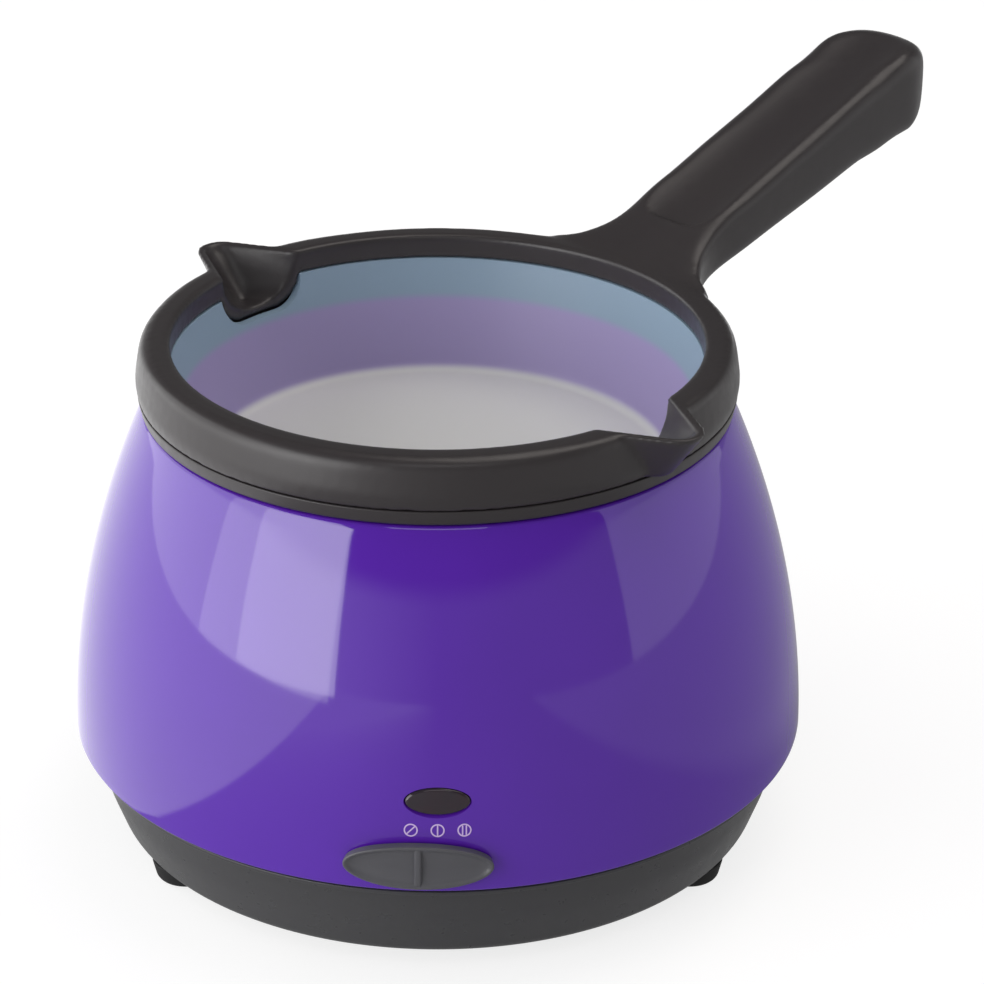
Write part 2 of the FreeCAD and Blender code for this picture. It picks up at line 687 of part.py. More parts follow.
def switch_lever():
    """Forked slide inside the switch that the slider's stem pushes."""
    rest = -LEVER_TRAVEL / 2
    front = -FORK_RADIUS - 2.2
    half_tall = LEVER_TALL / 2
    body = box(
        (rest - LEVER_HALF, front, SWITCH_HEIGHT - half_tall),
        (rest + LEVER_HALF, SWITCH_BACK_Y - 2.0, SWITCH_HEIGHT + half_tall),
    )
    gap = STEM_WIDTH / 2 + FORK_GAP
    fork = box(
        (rest - gap, front - 1, SWITCH_HEIGHT - half_tall - 1),
        (rest + gap, -FORK_RADIUS + 0.6, SWITCH_HEIGHT + half_tall + 1),
    )
    return body.cut(fork)


def slide_switch():
    """Three-position slide switch body with ears and rear terminals."""
    front = SWITCH_SEAT_Y
    back = SWITCH_BACK_Y
    run = LEVER_TRAVEL / 2 + LEVER_HALF + RUNNING_GAP
    tall = LEVER_TALL / 2 + RUNNING_GAP
    half_width = run + SWITCH_WALL
    half_tall = tall + SWITCH_WALL
    body = box(
        (-half_width, front, SWITCH_HEIGHT - half_tall),
        (half_width, back, SWITCH_HEIGHT + half_tall),
    )
    ear_half = SWITCH_EAR_PITCH / 2 + SWITCH_EAR_TALL / 2
    ears = box(
        (-ear_half, front, SWITCH_HEIGHT - SWITCH_EAR_TALL / 2),
        (ear_half, front + 1, SWITCH_HEIGHT + SWITCH_EAR_TALL / 2),
    )
    channel = box(
        (-run, front - 1, SWITCH_HEIGHT - tall),
        (run, back - 2.0 + RUNNING_GAP, SWITCH_HEIGHT + tall),
    )
    body = body.fuse(ears).cut(channel)
    for x in (-SWITCH_EAR_PITCH / 2, SWITCH_EAR_PITCH / 2):
        body = body.cut(rod_y(SWITCH_SCREW_RADIUS + SEAT_GAP, x, SWITCH_HEIGHT, front, front + 2))
    for index in range(BLADE_COUNT):
        x = (index - (BLADE_COUNT - 1) / 2) * BLADE_PITCH - BLADE_WIDTH / 2
        low_corner = (x, back, SWITCH_HEIGHT - BLADE_THICKNESS / 2)
        high_corner = (x + BLADE_WIDTH, back + BLADE_LENGTH, SWITCH_HEIGHT + BLADE_THICKNESS / 2)
        body = body.fuse(box(low_corner, high_corner))
    return body.removeSplitter()


def switch_screws():
    """Two screws through the switch's ears into the housing."""
    seat = SWITCH_SEAT_Y + 1
    screws = []
    for x in (-SWITCH_EAR_PITCH / 2, SWITCH_EAR_PITCH / 2):
        head = rod_y(SWITCH_SCREW_RADIUS * 1.9, x, SWITCH_HEIGHT, seat, seat + 1.6)
        drive = box((x - 3, seat + 0.8, SWITCH_HEIGHT - 0.35), (x + 3, seat + 2, SWITCH_HEIGHT + 0.35))
        shank = rod_y(SWITCH_SCREW_RADIUS, x, SWITCH_HEIGHT, seat - SWITCH_SCREW_LENGTH, seat)
        screws.append(head.cut(drive).fuse(shank))
    return Part.Compound(screws)


def heating_well():
    """Tapered cup that hangs by its flange in the housing's mouth."""
    cup = spun([
        (0, WELL_FLOOR_UNDER, 0),
        (WELL_FLOOR_RADIUS + WELL_WALL, WELL_FLOOR_UNDER, 3.0),
        (WELL_OUTER, REST_PLANE - WELL_FLANGE, 0),
        (WELL_FLANGE_RADIUS, REST_PLANE - WELL_FLANGE, 0),
        (WELL_FLANGE_RADIUS, REST_PLANE, 0.4),
        (WELL_MOUTH, REST_PLANE, 0.5),
        (WELL_FLOOR_RADIUS, WELL_FLOOR, 2.0),
        (0, WELL_FLOOR, 0),
    ])
    return cup.cut(cylinder(SPIGOT_RADIUS + SEAT_GAP, 0, REST_PLANE))


def heater_plate():
    """Aluminium plate seated on the well's floor, raised in the middle."""
    plate = spun([
        (0, HEATER_RECESS_TOP, 0),
        (HEATER_RECESS_RADIUS, HEATER_RECESS_TOP, 0),
        (HEATER_RECESS_RADIUS, WELL_FLOOR_UNDER, 0),
        (SPIGOT_RADIUS, WELL_FLOOR_UNDER, 0),
        (SPIGOT_RADIUS, WELL_FLOOR, 0),
        (HEATER_PAD_RADIUS + 4, WELL_FLOOR, 0),
        (HEATER_PAD_RADIUS + 4, WELL_FLOOR + PLATE_FLANGE, 0.6),
        (HEATER_PAD_RADIUS, WELL_FLOOR + PLATE_FLANGE, 0),
        (HEATER_PAD_RADIUS, LINER_BOTTOM, 0.8),
        (0, LINER_BOTTOM, 0),
    ])
    hole = cylinder(HEATER_SCREW_RADIUS + HOLE_CLEARANCE, WELL_FLOOR_UNDER, WELL_FLOOR_UNDER + 4.2)
    for part in ring_of(hole, HEATER_SCREW_PITCH, heater_screw_azimuths()):
        plate = plate.cut(part)
    return plate


def heater_screw_azimuths():
    """Azimuths of the screws that clamp the heater."""
    return [30.0 + 360.0 / HEATER_SCREW_COUNT * index for index in range(HEATER_SCREW_COUNT)]


def tab_slots(grow, low, high):
    """Boxes round the element's two terminal tabs, grown on all sides."""
    slots = []
    for side in (-1, 1):
        x = side * TAB_OFFSET
        slots.append(box(
            (x - TAB_WIDTH / 2 - grow, TAB_RADIUS - TAB_THICKNESS / 2 - grow, low),
            (x + TAB_WIDTH / 2 + grow, TAB_RADIUS + TAB_THICKNESS / 2 + grow, high),
        ))
    return slots


def heating_element():
    """Mica heating disc with two terminal tabs pointing down."""
    low = HEATER_RECESS_TOP - MICA_THICKNESS
    radius = HEATER_RECESS_RADIUS - 0.6
    disc = cylinder(radius, low, HEATER_RECESS_TOP).cut(cylinder(SENSOR_HOLE, low, HEATER_RECESS_TOP))
    for tab in tab_slots(0, CLAMP_UNDER - TAB_LENGTH, low + 0.2):
        disc = disc.fuse(tab)
    return disc


def insulation_pad():
    """Felt disc between the element and the clamp plate."""
    low = WELL_FLOOR_UNDER
    high = low + PAD_THICKNESS
    pad = cylinder(HEATER_RECESS_RADIUS - 0.6, low, high).cut(cylinder(SENSOR_HOLE, low, high))
    for slot in tab_slots(TAB_CLEARANCE, low - 1, high + 1):
        pad = pad.cut(slot)
    return pad


def clamp_plate():
    """Pressed steel disc with stiffening beads that clamps the heater stack."""
    plate = spun([
        (SENSOR_HOLE, CLAMP_UNDER, 0),
        (CLAMP_RADIUS - 1, CLAMP_UNDER, 0),
        (CLAMP_RADIUS - 1, CLAMP_UNDER - 3, 0),
        (CLAMP_RADIUS, CLAMP_UNDER - 3, 0),
        (CLAMP_RADIUS, WELL_FLOOR_UNDER, 0.8),
        (SENSOR_HOLE, WELL_FLOOR_UNDER, 0),
    ])
    bead = Part.makeTorus(CLAMP_BEAD_RADIUS, 1.6, V(0, 0, CLAMP_UNDER + 0.5))
    bead = bead.common(cylinder(40, CLAMP_UNDER - 3, CLAMP_UNDER + 0.5))
    plate = plate.fuse(bead)
    for slot in tab_slots(TAB_CLEARANCE, CLAMP_UNDER - 4, WELL_FLOOR_UNDER + 1):
        plate = plate.cut(slot)
    hole = cylinder(HEATER_SCREW_RADIUS + SEAT_GAP, 0, WELL_FLOOR_UNDER)
    for part in ring_of(hole, HEATER_SCREW_PITCH, heater_screw_azimuths()):
        plate = plate.cut(part)
    for x, y in ((-THERMOSTAT_EAR, 0.0), (THERMOSTAT_EAR, 0.0), (CLIP_SCREW_X, FUSE_Y)):
        plate = plate.cut(cylinder(SENSOR_SCREW_RADIUS + HOLE_CLEARANCE, 0, WELL_FLOOR_UNDER, x, y))
    return plate


def heater_screws():
    """Screws that pull the clamp plate up to the heater plate."""
    screw = screw_up(HEATER_SCREW_RADIUS, HEATER_SCREW_LENGTH, HEATER_SCREW_RADIUS * 1.9, 2.0, CLAMP_UNDER)
    return Part.Compound(ring_of(screw, HEATER_SCREW_PITCH, heater_screw_azimuths()))


def thermostat():
    """Bimetal button thermostat pressed against the heater plate."""
    flange_top = CLAMP_UNDER
    flange_low = flange_top - THERMOSTAT_STRAP
    can = cylinder(THERMOSTAT_RADIUS, flange_low, HEATER_RECESS_TOP)
    body = cylinder(THERMOSTAT_RADIUS - 0.6, flange_low - 6.5, flange_low)
    reach = THERMOSTAT_EAR + 3.2
    strap_half = THERMOSTAT_STRAP_HALF
    strap = box((-reach, -strap_half, flange_low), (reach, strap_half, flange_top))
    shape = can.fuse(body).fuse(strap)
    for x in (-THERMOSTAT_EAR, THERMOSTAT_EAR):
        shape = shape.cut(cylinder(SENSOR_SCREW_RADIUS + SEAT_GAP, 0, flange_top, x, 0))
    for y in (-strap_half, strap_half):
        shape = shape.fuse(box((-3.1, y - 0.4, flange_low - 14), (3.1, y + 0.4, flange_low - 6)))
    return shape


def thermostat_screws():
    """Two screws through the thermostat's strap into the clamp plate."""
    seat = CLAMP_UNDER - THERMOSTAT_STRAP
    screw = screw_up(SENSOR_SCREW_RADIUS, 1.6, SENSOR_SCREW_RADIUS * 1.9, 1.5, seat)
    return Part.Compound(ring_of(screw, THERMOSTAT_EAR, (0.0, 180.0)))


def thermal_fuse():
    """Axial thermal fuse lying against the clamp plate, with its leads."""
    half = FUSE_LENGTH / 2
    reach = half + FUSE_LEAD_LENGTH
    can = rod_y(FUSE_RADIUS - HOLE_CLEARANCE, 0, FUSE_Z, FUSE_Y - half, FUSE_Y + half)
    return can.fuse(rod_y(FUSE_LEAD_RADIUS, 0, FUSE_Z, FUSE_Y - reach, FUSE_Y + reach))


def fuse_clip():
    """Bent steel strap that holds the fuse up to the clamp plate."""
    inner = FUSE_RADIUS + HOLE_CLEARANCE
    outer = inner + CLIP_SHEET
    start = FUSE_Y - CLIP_WIDTH / 2
    finish = FUSE_Y + CLIP_WIDTH / 2
    saddle = rod_y(outer, 0, FUSE_Z, start, finish)
    saddle = saddle.fuse(box((-outer, start, FUSE_Z), (outer, finish, CLAMP_UNDER)))
    hollow = rod_y(inner, 0, FUSE_Z, start, finish)
    hollow = hollow.fuse(box((-inner, start, FUSE_Z), (inner, finish, CLAMP_UNDER)))
    foot = box((inner, start, CLAMP_UNDER - CLIP_SHEET), (CLIP_SCREW_X + 2.6, finish, CLAMP_UNDER))
    below = box((-outer, start, FUSE_Z - outer), (outer, finish, CLAMP_UNDER))
    clip = saddle.cut(hollow).common(below).fuse(foot)
    clip = clip.cut(cylinder(SENSOR_SCREW_RADIUS + SEAT_GAP, 0, CLAMP_UNDER, CLIP_SCREW_X, FUSE_Y))
    return clip.removeSplitter()


def fuse_clip_screw():
    """Screw through the fuse clip's foot."""
    screw = screw_up(SENSOR_SCREW_RADIUS, 1.5, SENSOR_SCREW_RADIUS * 1.9, 1.4, CLAMP_UNDER - CLIP_SHEET)
    screw.translate(V(CLIP_SCREW_X, FUSE_Y, 0))
    return screw


def terminal_block():
    """Two-way screw terminal block on posts on the pan's floor."""
    high = BLOCK_SEAT + BLOCK_HEIGHT
    half = BLOCK_LENGTH / 2
    deep = BLOCK_WIDTH / 2
    step = high - 3.5
    block = box((-half, BLOCK_Y - deep, BLOCK_SEAT), (half, BLOCK_Y + deep, high))
    block = block.cut(box((-half, BLOCK_Y - deep, step), (half, BLOCK_Y - deep + 3, high)))
    block = block.cut(box((-half, BLOCK_Y + deep - 3, step), (half, BLOCK_Y + deep, high)))
    for x in (-5.0, 5.0):
        block = block.cut(rod_y(2.2, x, BLOCK_SEAT + 4.2, BLOCK_Y - deep, BLOCK_Y + deep))
        for y in (-2.0, 2.0):
            block = block.cut(cylinder(1.0, BLOCK_SEAT + 7, high, x, BLOCK_Y + y))
    for x in (-BLOCK_PITCH / 2, BLOCK_PITCH / 2):
        block = block.cut(cylinder(BLOCK_SCREW_RADIUS + SEAT_GAP, BLOCK_SEAT, high, x, BLOCK_Y))
        block = block.cut(cylinder(BLOCK_SCREW_RADIUS * 2.1, high - 5, high, x, BLOCK_Y))
    return block


def terminal_screws():
    """Two screws that hold the terminal block on its posts."""
    screws = []
    seat = BLOCK_SEAT + 6
    for x in (-BLOCK_PITCH / 2, BLOCK_PITCH / 2):
        head = cylinder(BLOCK_SCREW_RADIUS * 1.9, seat, seat + 1.6, x, BLOCK_Y)
        head = head.cut(box((x - 3, BLOCK_Y - 0.35, seat + 0.8), (x + 3, BLOCK_Y + 0.35, seat + 2)))
        shank = cylinder(BLOCK_SCREW_RADIUS, seat - BLOCK_SCREW_LENGTH, seat, x, BLOCK_Y)
        screws.append(head.fuse(shank))
    return Part.Compound(screws)


def cord_gland():
    """Bush in the pan's rear wall with an outer collar and an inner one."""
    wall_outer = PAN_SIDE_RADIUS
    body = rod_y(GLAND_BODY_RADIUS, 0, GLAND_HEIGHT, wall_outer - 12, wall_outer + 2.5)
    collar = rod_y(GLAND_BODY_RADIUS + GLAND_COLLAR, 0, GLAND_HEIGHT, wall_outer - 6, wall_outer + 2.5)
    collar = collar.cut(pan_form(0))
    keeper = rod_y(GLAND_BODY_RADIUS + GLAND_KEEPER, 0, GLAND_HEIGHT, wall_outer - 10, wall_outer - 2)
    keeper = keeper.common(pan_form(PAN_WALL))
    bore = rod_y(CORD_RADIUS, 0, GLAND_HEIGHT, wall_outer - 14, wall_outer + 4)
    return body.fuse(collar).fuse(keeper).cut(bore).removeSplitter()


def silicone_liner():
    """Flexible bowl with a clamped top flange, notched under each spout."""
    bowl = spun([
        (0, LINER_BOTTOM, 0),
        (BOWL_FLOOR_RADIUS + LINER_WALL, LINER_BOTTOM, 4.5),
        (LINER_OUTER, FLANGE_BOTTOM, 0),
        (RIB_OUTER, FLANGE_BOTTOM, 0),
        (RIB_OUTER, FLANGE_TOP, 0),
        (MOUTH_RADIUS, FLANGE_TOP, 0),
        (BOWL_FLOOR_RADIUS, BOWL_FLOOR, 3.5),
        (0, BOWL_FLOOR, 0),
    ])
    for azimuth in SPOUT_AZIMUTHS:
        bowl = bowl.cut(turned(apron_bar(RUNNING_GAP, BOWL_FLOOR_RADIUS - 4), azimuth))
    return bowl


def apron_bar(grow, start):
    """U-shaped bar along +X under a spout's mouth, grown on its curved side."""
    half = APRON_HALF + grow
    low = APRON_BOTTOM - grow
    wire = rounded_wire([
        (-half, low, APRON_CORNER),
        (half, low, APRON_CORNER),
        (half, FLANGE_TOP + grow, 0),
        (-half, FLANGE_TOP + grow, 0),
    ], lambda point: V(start, point.x, point.y))
    return Part.Face(wire).extrude(V(ROOT_RADIUS + grow - start, 0, 0))


def retaining_ring():
    """Lower ring whose rib clamps the liner's flange to the frame."""
    ring = spun([
        (RETAINER_INNER, REST_PLANE, 0.4),
        (RING_OUTER - 1.4, REST_PLANE, 0.6),
        (RING_OUTER - 0.6, PARTING, 0),
        (RIB_OUTER, PARTING, 0),
        (RIB_OUTER, FLANGE_BOTTOM, 0),
        (RETAINER_INNER, FLANGE_BOTTOM, 0),
    ])
    for azimuth in SPOUT_AZIMUTHS:
        ring = ring.cut(turned(apron_bar(RUNNING_GAP, BOWL_FLOOR_RADIUS), azimuth))
    hole = cylinder(RING_SCREW_RADIUS + SEAT_GAP, 0, PARTING + 1)
    sink = cylinder(RING_SCREW_RADIUS * 1.75 + SEAT_GAP, 0, REST_PLANE + RING_SCREW_SINK)
    for part in ring_of(hole.fuse(sink), RING_PITCH, RING_SCREW_ANGLES):
        ring = ring.cut(part)
    return ring


def retaining_ring_screws():
    """Screws up through the retaining ring into the frame."""
    seat = REST_PLANE + RING_SCREW_SINK
    screw = screw_up(RING_SCREW_RADIUS, RING_SCREW_LENGTH, RING_SCREW_RADIUS * 1.75, 1.3, seat)
    return Part.Compound(ring_of(screw, RING_PITCH, RING_SCREW_ANGLES))


def spout_wire(half, tip, tip_radius, z):
    """Round-nosed V outline of a spout at one height, pointing to +X."""
    root = MOUTH_RADIUS - 3.0
    centre = tip - tip_radius
    reach = math.hypot(centre - root, half)
    lean = math.atan2(-half, centre - root)
    spread = math.asin(tip_radius / reach)
    flank = lean + spread
    touch = V(centre - tip_radius * math.sin(flank), tip_radius * math.cos(flank), z)
    low_touch = V(touch.x, -touch.y, z)
    corner = V(root, half, z)
    low_corner = V(root, -half, z)
    nose = Part.Arc(low_touch, V(tip, 0, z), touch)
    return Part.Wire([
        Part.makeLine(corner, low_corner),
        Part.makeLine(low_corner, low_touch),
        nose.toShape(),
        Part.makeLine(touch, corner),
    ])


def spout_outer():
    """Outer form of a spout from the parting plane to the pot's top."""
    wires = []
    for share in (0.0, 0.5, 1.0):
        z = PARTING + FRAME_HEIGHT * share
        tip = SPOUT_KEEL_REACH + (SPOUT_REACH - SPOUT_KEEL_REACH) * share
        half = SPOUT_MOUTH_HALF + SPOUT_WALL + 2.2 - SPOUT_FLANK_DRAFT * (1 - share)
        wires.append(spout_wire(half, tip, SPOUT_TIP_RADIUS * (0.75 + 0.25 * share), z))
    return Part.makeLoft(wires, True, False)


def spout_channel():
    """Scoop cut through the ring: full width at the top, rounded below."""
    wires = []
    inner_tip = SPOUT_REACH - SPOUT_WALL
    for share in (-0.12, 0.0, 0.3, 0.55, 0.75, 0.89, 0.97, 1.0):
        drop = SPOUT_DEPTH * max(share, 0.0)
        z = POT_TOP - SPOUT_DEPTH * share
        width = (1.02 - max(share, 0.0) ** 2.6) ** (1 / 2.6)
        half = (SPOUT_MOUTH_HALF + 1.5) * width
        tip = inner_tip - SPOUT_FLOOR_SLOPE * drop
        wires.append(spout_wire(half, tip, (SPOUT_TIP_RADIUS - SPOUT_WALL) * width, z))
    return Part.makeLoft(wires, True, False)


def frame_ring():
    """Dark ring round the pot's mouth, before its bore and pocket are cut."""
    return spun([
        (MOUTH_RADIUS - 2, PARTING, 0),
        (RING_OUTER - 0.6, PARTING, 0),
        (RING_OUTER, PARTING + 3.5, 8.0),
        (RING_OUTER - 1.5, POT_TOP, 3.0),
        (MOUTH_RADIUS - 2, POT_TOP, 0),
    ])


def frame_bore():
    """Cutter for the ring's bore, with a small break at its top edge."""
    break_edge = 0.7
    return spun([
        (0, REST_PLANE - 20, 0),
        (MOUTH_RADIUS, REST_PLANE - 20, 0),
        (MOUTH_RADIUS, POT_TOP - break_edge, 0),
        (MOUTH_RADIUS + break_edge, POT_TOP, 0),
        (MOUTH_RADIUS + break_edge, POT_TOP + 9, 0),
        (0, POT_TOP + 9, 0),
    ])


def flange_pocket():
    """Cutter for the pocket of the liner's flange, left full under the spouts."""
    pocket = cylinder(SKIRT_INNER, REST_PLANE - 20, FLANGE_TOP)
    pocket = pocket.cut(cylinder(MOUTH_RADIUS - 1, REST_PLANE - 20, FLANGE_TOP))
    for azimuth in SPOUT_AZIMUTHS:
        pocket = pocket.cut(turned(apron_bar(0, MOUTH_RADIUS - 8), azimuth))
    return pocket


def handle_top(distance):
    """Height of the handle's top ridge at a distance from the axis."""
    line = POT_TOP + HANDLE_TOP_LIFT + HANDLE_TOP_RISE * (distance - HANDLE_TOP_START)
    if distance >= HANDLE_NECK:
        return line
    ramp = max(0.0, (distance - MOUTH_RADIUS) / (HANDLE_NECK - MOUTH_RADIUS))
    root = POT_TOP - 0.4
    crest = POT_TOP + HANDLE_TOP_LIFT + HANDLE_TOP_RISE * (HANDLE_NECK - HANDLE_TOP_START)
    return root + (crest - root) * ramp ** 1.35


def handle_under(distance):
    """Height of the handle's underside at a distance from the axis."""
    return POT_TOP - HANDLE_UNDER_DROP + HANDLE_UNDER_RISE * (distance - HANDLE_UNDER_START)


def handle_half(distance):
    """Half width of the handle: a flared neck, then a slow widening."""
    if distance < HANDLE_NECK:
        across = max(HANDLE_FLARE_RADIUS ** 2 - (HANDLE_NECK - distance) ** 2, 0.0)
        return HANDLE_HALF_WIDTH + HANDLE_FLARE_RADIUS - math.sqrt(across)
    share = (distance - HANDLE_NECK) / (HANDLE_REACH - HANDLE_NECK)
    return HANDLE_HALF_WIDTH + (HANDLE_END_HALF_WIDTH - HANDLE_HALF_WIDTH) * share


def handle_section(distance, half, top, under):
    """Closed smooth section across the handle: crisp above, rounder below."""
    middle = under + (top - under) * 0.55
    points = []
    for index in range(SECTION_POINTS):
        turn = 2 * math.pi * (index + 0.5) / SECTION_POINTS
        side = math.cos(turn)
        rise = math.sin(turn)
        power = HANDLE_TOP_SQUARENESS if rise > 0 else HANDLE_UNDER_SQUARENESS
        tall = top - middle if rise > 0 else middle - under
        across = math.copysign(abs(side) ** (2 / power), side) * half
        height = math.copysign(abs(rise) ** (2 / power), rise) * tall
        points.append(V(distance, across, middle + height))
    curve = Part.BSplineCurve()
    curve.interpolate(Points=points, PeriodicFlag=True)
    return Part.Wire([curve.toShape()])


def handle_form():
    """Handle as a loft along +X, from inside the ring to its blunt end."""
    blend = HANDLE_REACH - HANDLE_END_LENGTH
    neck = [HANDLE_NECK - step for step in (30, 26, 22, 18, 13, 7, 0)]
    grip = [HANDLE_NECK + (blend - HANDLE_NECK) * share for share in (0.2, 0.4, 0.6, 0.8, 0.92)]
    wires = []
    for distance in neck + grip:
        half = min(handle_half(distance), MOUTH_RADIUS * 0.44)
        wires.append(handle_section(distance, half, handle_top(distance), handle_under(distance)))
    top = handle_top(blend)
    under = handle_under(blend)
    for angle in (0, 10, 22, 36, 50, 63, 75, 83, 87):
        along = math.sin(math.radians(angle)) ** (2 / HANDLE_END_SQUARENESS)
        size = math.cos(math.radians(angle)) ** (2 / HANDLE_END_SQUARENESS)
        height = math.cos(math.radians(angle)) ** (2 / HANDLE_END_TALL_SQUARENESS)
        distance = blend + HANDLE_END_LENGTH * along
        middle = (top + under) / 2 + HANDLE_END_RISE * along
        tall = (top - under) / 2 * height
        half = handle_half(distance) * size
        wires.append(handle_section(distance, half, middle + tall, middle - tall))
    return Part.makeLoft(wires, True, False)


def thumb_dish():
    """Shallow trough along the handle's top, with a rounded outline."""
    finish = HANDLE_REACH - 9.0
    outline = plan_prism([
        (DISH_START, -HANDLE_HALF_WIDTH + 1.6, 10.0),
        (finish, -HANDLE_END_HALF_WIDTH + 2.2, 13.5),
        (finish, HANDLE_END_HALF_WIDTH - 2.2, 13.5),
        (DISH_START, HANDLE_HALF_WIDTH - 1.6, 10.0),
    ], POT_TOP, handle_top(HANDLE_REACH) + 10)
    slope = math.atan(HANDLE_TOP_RISE)
    start = V(HANDLE_NECK - 20, 0, handle_top(HANDLE_NECK) - 20 * HANDLE_TOP_RISE)
    lift = (DISH_RADIUS - DISH_DEPTH) / math.cos(slope)
    direction = V(math.cos(slope), 0, math.sin(slope))
    trough = Part.makeCylinder(DISH_RADIUS, 160, start + V(0, 0, lift), direction)
    return outline.common(trough)


def under_band(depth_low, depth_high, start, finish, half, round_end):
    """Slab along the underside between two depths, with rounded corners."""
    slope = math.atan(HANDLE_UNDER_RISE)
    length = (finish - start) / math.cos(slope)
    slab = plan_prism([
        (0, -half, round_end),
        (length, -half, round_end),
        (length, half, round_end),
        (0, half, round_end),
    ], depth_low, depth_high)
    slab.rotate(ORIGIN, V(0, 1, 0), -math.degrees(slope))
    slab.translate(V(start, 0, handle_under(start)))
    return slab


def cover_screw_stations():
    """Distances along the cover's slab of its two screws."""
    length = COVER_LENGTH / math.cos(math.atan(HANDLE_UNDER_RISE))
    return (COVER_SCREW_INSET, length - COVER_SCREW_INSET)


def on_under(shape, along):
    """Copy of an on-axis shape moved to a place along the handle's underside."""
    slope = math.atan(HANDLE_UNDER_RISE)
    copy = shape.copy()
    copy.translate(V(along, 0, 0))
    copy.rotate(ORIGIN, V(0, 1, 0), -math.degrees(slope))
    copy.translate(V(COVER_START, 0, handle_under(COVER_START)))
    return copy


def under_ceiling():
    """Wedge below the handle's top wall, which bounds the hollow inside."""
    drop = DISH_DEPTH + HANDLE_WALL
    finish = HANDLE_REACH
    outline = Part.makePolygon([
        V(HANDLE_NECK, -20, POT_TOP - 20),
        V(finish, -20, POT_TOP - 20),
        V(finish, -20, handle_top(finish) - drop),
        V(HANDLE_NECK, -20, handle_top(HANDLE_NECK) - drop),
        V(HANDLE_NECK, -20, POT_TOP - 20),
    ])
    return Part.Face(outline).extrude(V(0, 40, 0))


def handle_grip():
    """Hollow handle with its dish, cover recess and inner screw bosses."""
    finish = COVER_START + COVER_LENGTH
    grip = handle_form().cut(thumb_dish())
    room = under_band(-5, 40, COVER_START + 2, finish - 2, COVER_HALF_WIDTH - 1.8, 6.0)
    hollow = room.common(under_ceiling())
    for along in cover_screw_stations():
        boss = on_under(cylinder(COVER_BOSS_RADIUS, COVER_LEDGE, 30), along)
        hollow = hollow.cut(boss)
    start = COVER_START - SEAT_GAP
    half = COVER_HALF_WIDTH + SEAT_GAP
    recess = under_band(-5, COVER_LEDGE, start, finish + SEAT_GAP, half, COVER_CORNER)
    grip = grip.cut(hollow).cut(recess)
    for along in cover_screw_stations():
        deep = COVER_SCREW_SEAT + COVER_SCREW_LENGTH + 0.5
        pilot = on_under(cylinder(COVER_SCREW_RADIUS + HOLE_CLEARANCE, 0, deep), along)
        grip = grip.cut(pilot)
    return grip


def handle_cover():
    """Cover let into the handle's underside, with two counterbored holes."""
    finish = COVER_START + COVER_LENGTH
    cover = under_band(COVER_SET_IN, COVER_LEDGE, COVER_START, finish, COVER_HALF_WIDTH, COVER_CORNER)
    hole = cylinder(COVER_SCREW_RADIUS + SEAT_GAP, -1, COVER_LEDGE)
    sink = cylinder(COVER_SCREW_RADIUS * 1.9 + SEAT_GAP, -1, COVER_SCREW_SEAT)
    for along in cover_screw_stations():
        cover = cover.cut(on_under(hole, along)).cut(on_under(sink, along))
    return turned(cover, HANDLE_AZIMUTH)


def handle_screws():
    """Two screws through the cover into the handle's bosses."""
    head = (COVER_SCREW_RADIUS * 1.9, COVER_SCREW_HEAD)
    screw = screw_up(COVER_SCREW_RADIUS, COVER_SCREW_LENGTH, *head, COVER_SCREW_SEAT)
    placed = [turned(on_under(screw, along), HANDLE_AZIMUTH) for along in cover_screw_stations()]
    return Part.Compound(placed)


def pot_frame():
    """Ring, two spouts and the handle's grip, moulded as one piece."""
    frame = frame_ring().fuse(turned(handle_grip(), HANDLE_AZIMUTH))
    for azimuth in SPOUT_AZIMUTHS:
        frame = frame.fuse(turned(spout_outer(), azimuth))
        frame = frame.fuse(turned(apron_bar(0, MOUTH_RADIUS - 1), azimuth))
    frame = frame.cut(flange_pocket()).cut(frame_bore())
    for azimuth in SPOUT_AZIMUTHS:
        frame = frame.cut(turned(spout_channel(), azimuth))
    hole_top = REST_PLANE + RING_SCREW_SINK + RING_SCREW_LENGTH + 0.5
    hole = cylinder(RING_SCREW_RADIUS + HOLE_CLEARANCE, 0, hole_top)
    for part in ring_of(hole, RING_PITCH, RING_SCREW_ANGLES):
        frame = frame.cut(part)
    return frame


PARTS = {
    "pot_frame": pot_frame,
    "handle_cover": handle_cover,
    "handle_screws": handle_screws,
    "silicone_liner": silicone_liner,
    "retaining_ring": retaining_ring,
    "retaining_ring_screws": retaining_ring_screws,
    "housing_shell": housing_shell,
    "heating_well": heating_well,
    "heater_plate": heater_plate,
    "heating_element": heating_element,
    "insulation_pad": insulation_pad,
    "clamp_plate": clamp_plate,
    "heater_screws": heater_screws,
    "thermostat": thermostat,
    "thermostat_screws": thermostat_screws,
    "thermal_fuse": thermal_fuse,
    "fuse_clip": fuse_clip,
    "fuse_clip_screw": fuse_clip_screw,
    "indicator_lens": indicator_lens,
    "lamp_holder": lamp_holder,
    "neon_lamp": neon_lamp,
    "switch_slider": switch_slider,
    "switch_lever": switch_lever,
    "slide_switch": slide_switch,
    "switch_screws": switch_screws,
    "terminal_block": terminal_block,
    "terminal_screws": terminal_screws,
    "cord_gland": cord_gland,
    "base_pan": base_pan,
    "rubber_feet": rubber_feet,
    "base_screws": base_screws,
}


def main():
    """Write every piece to its own STEP file."""
    os.makedirs("parts", exist_ok=True)
    for name, make in PARTS.items():
        shape = make()
        shape.exportStep(f"parts/{name}.step")
        print(name, len(shape.Solids), round(shape.Volume), shape.isValid())


if __name__ == "__main__":
    main()
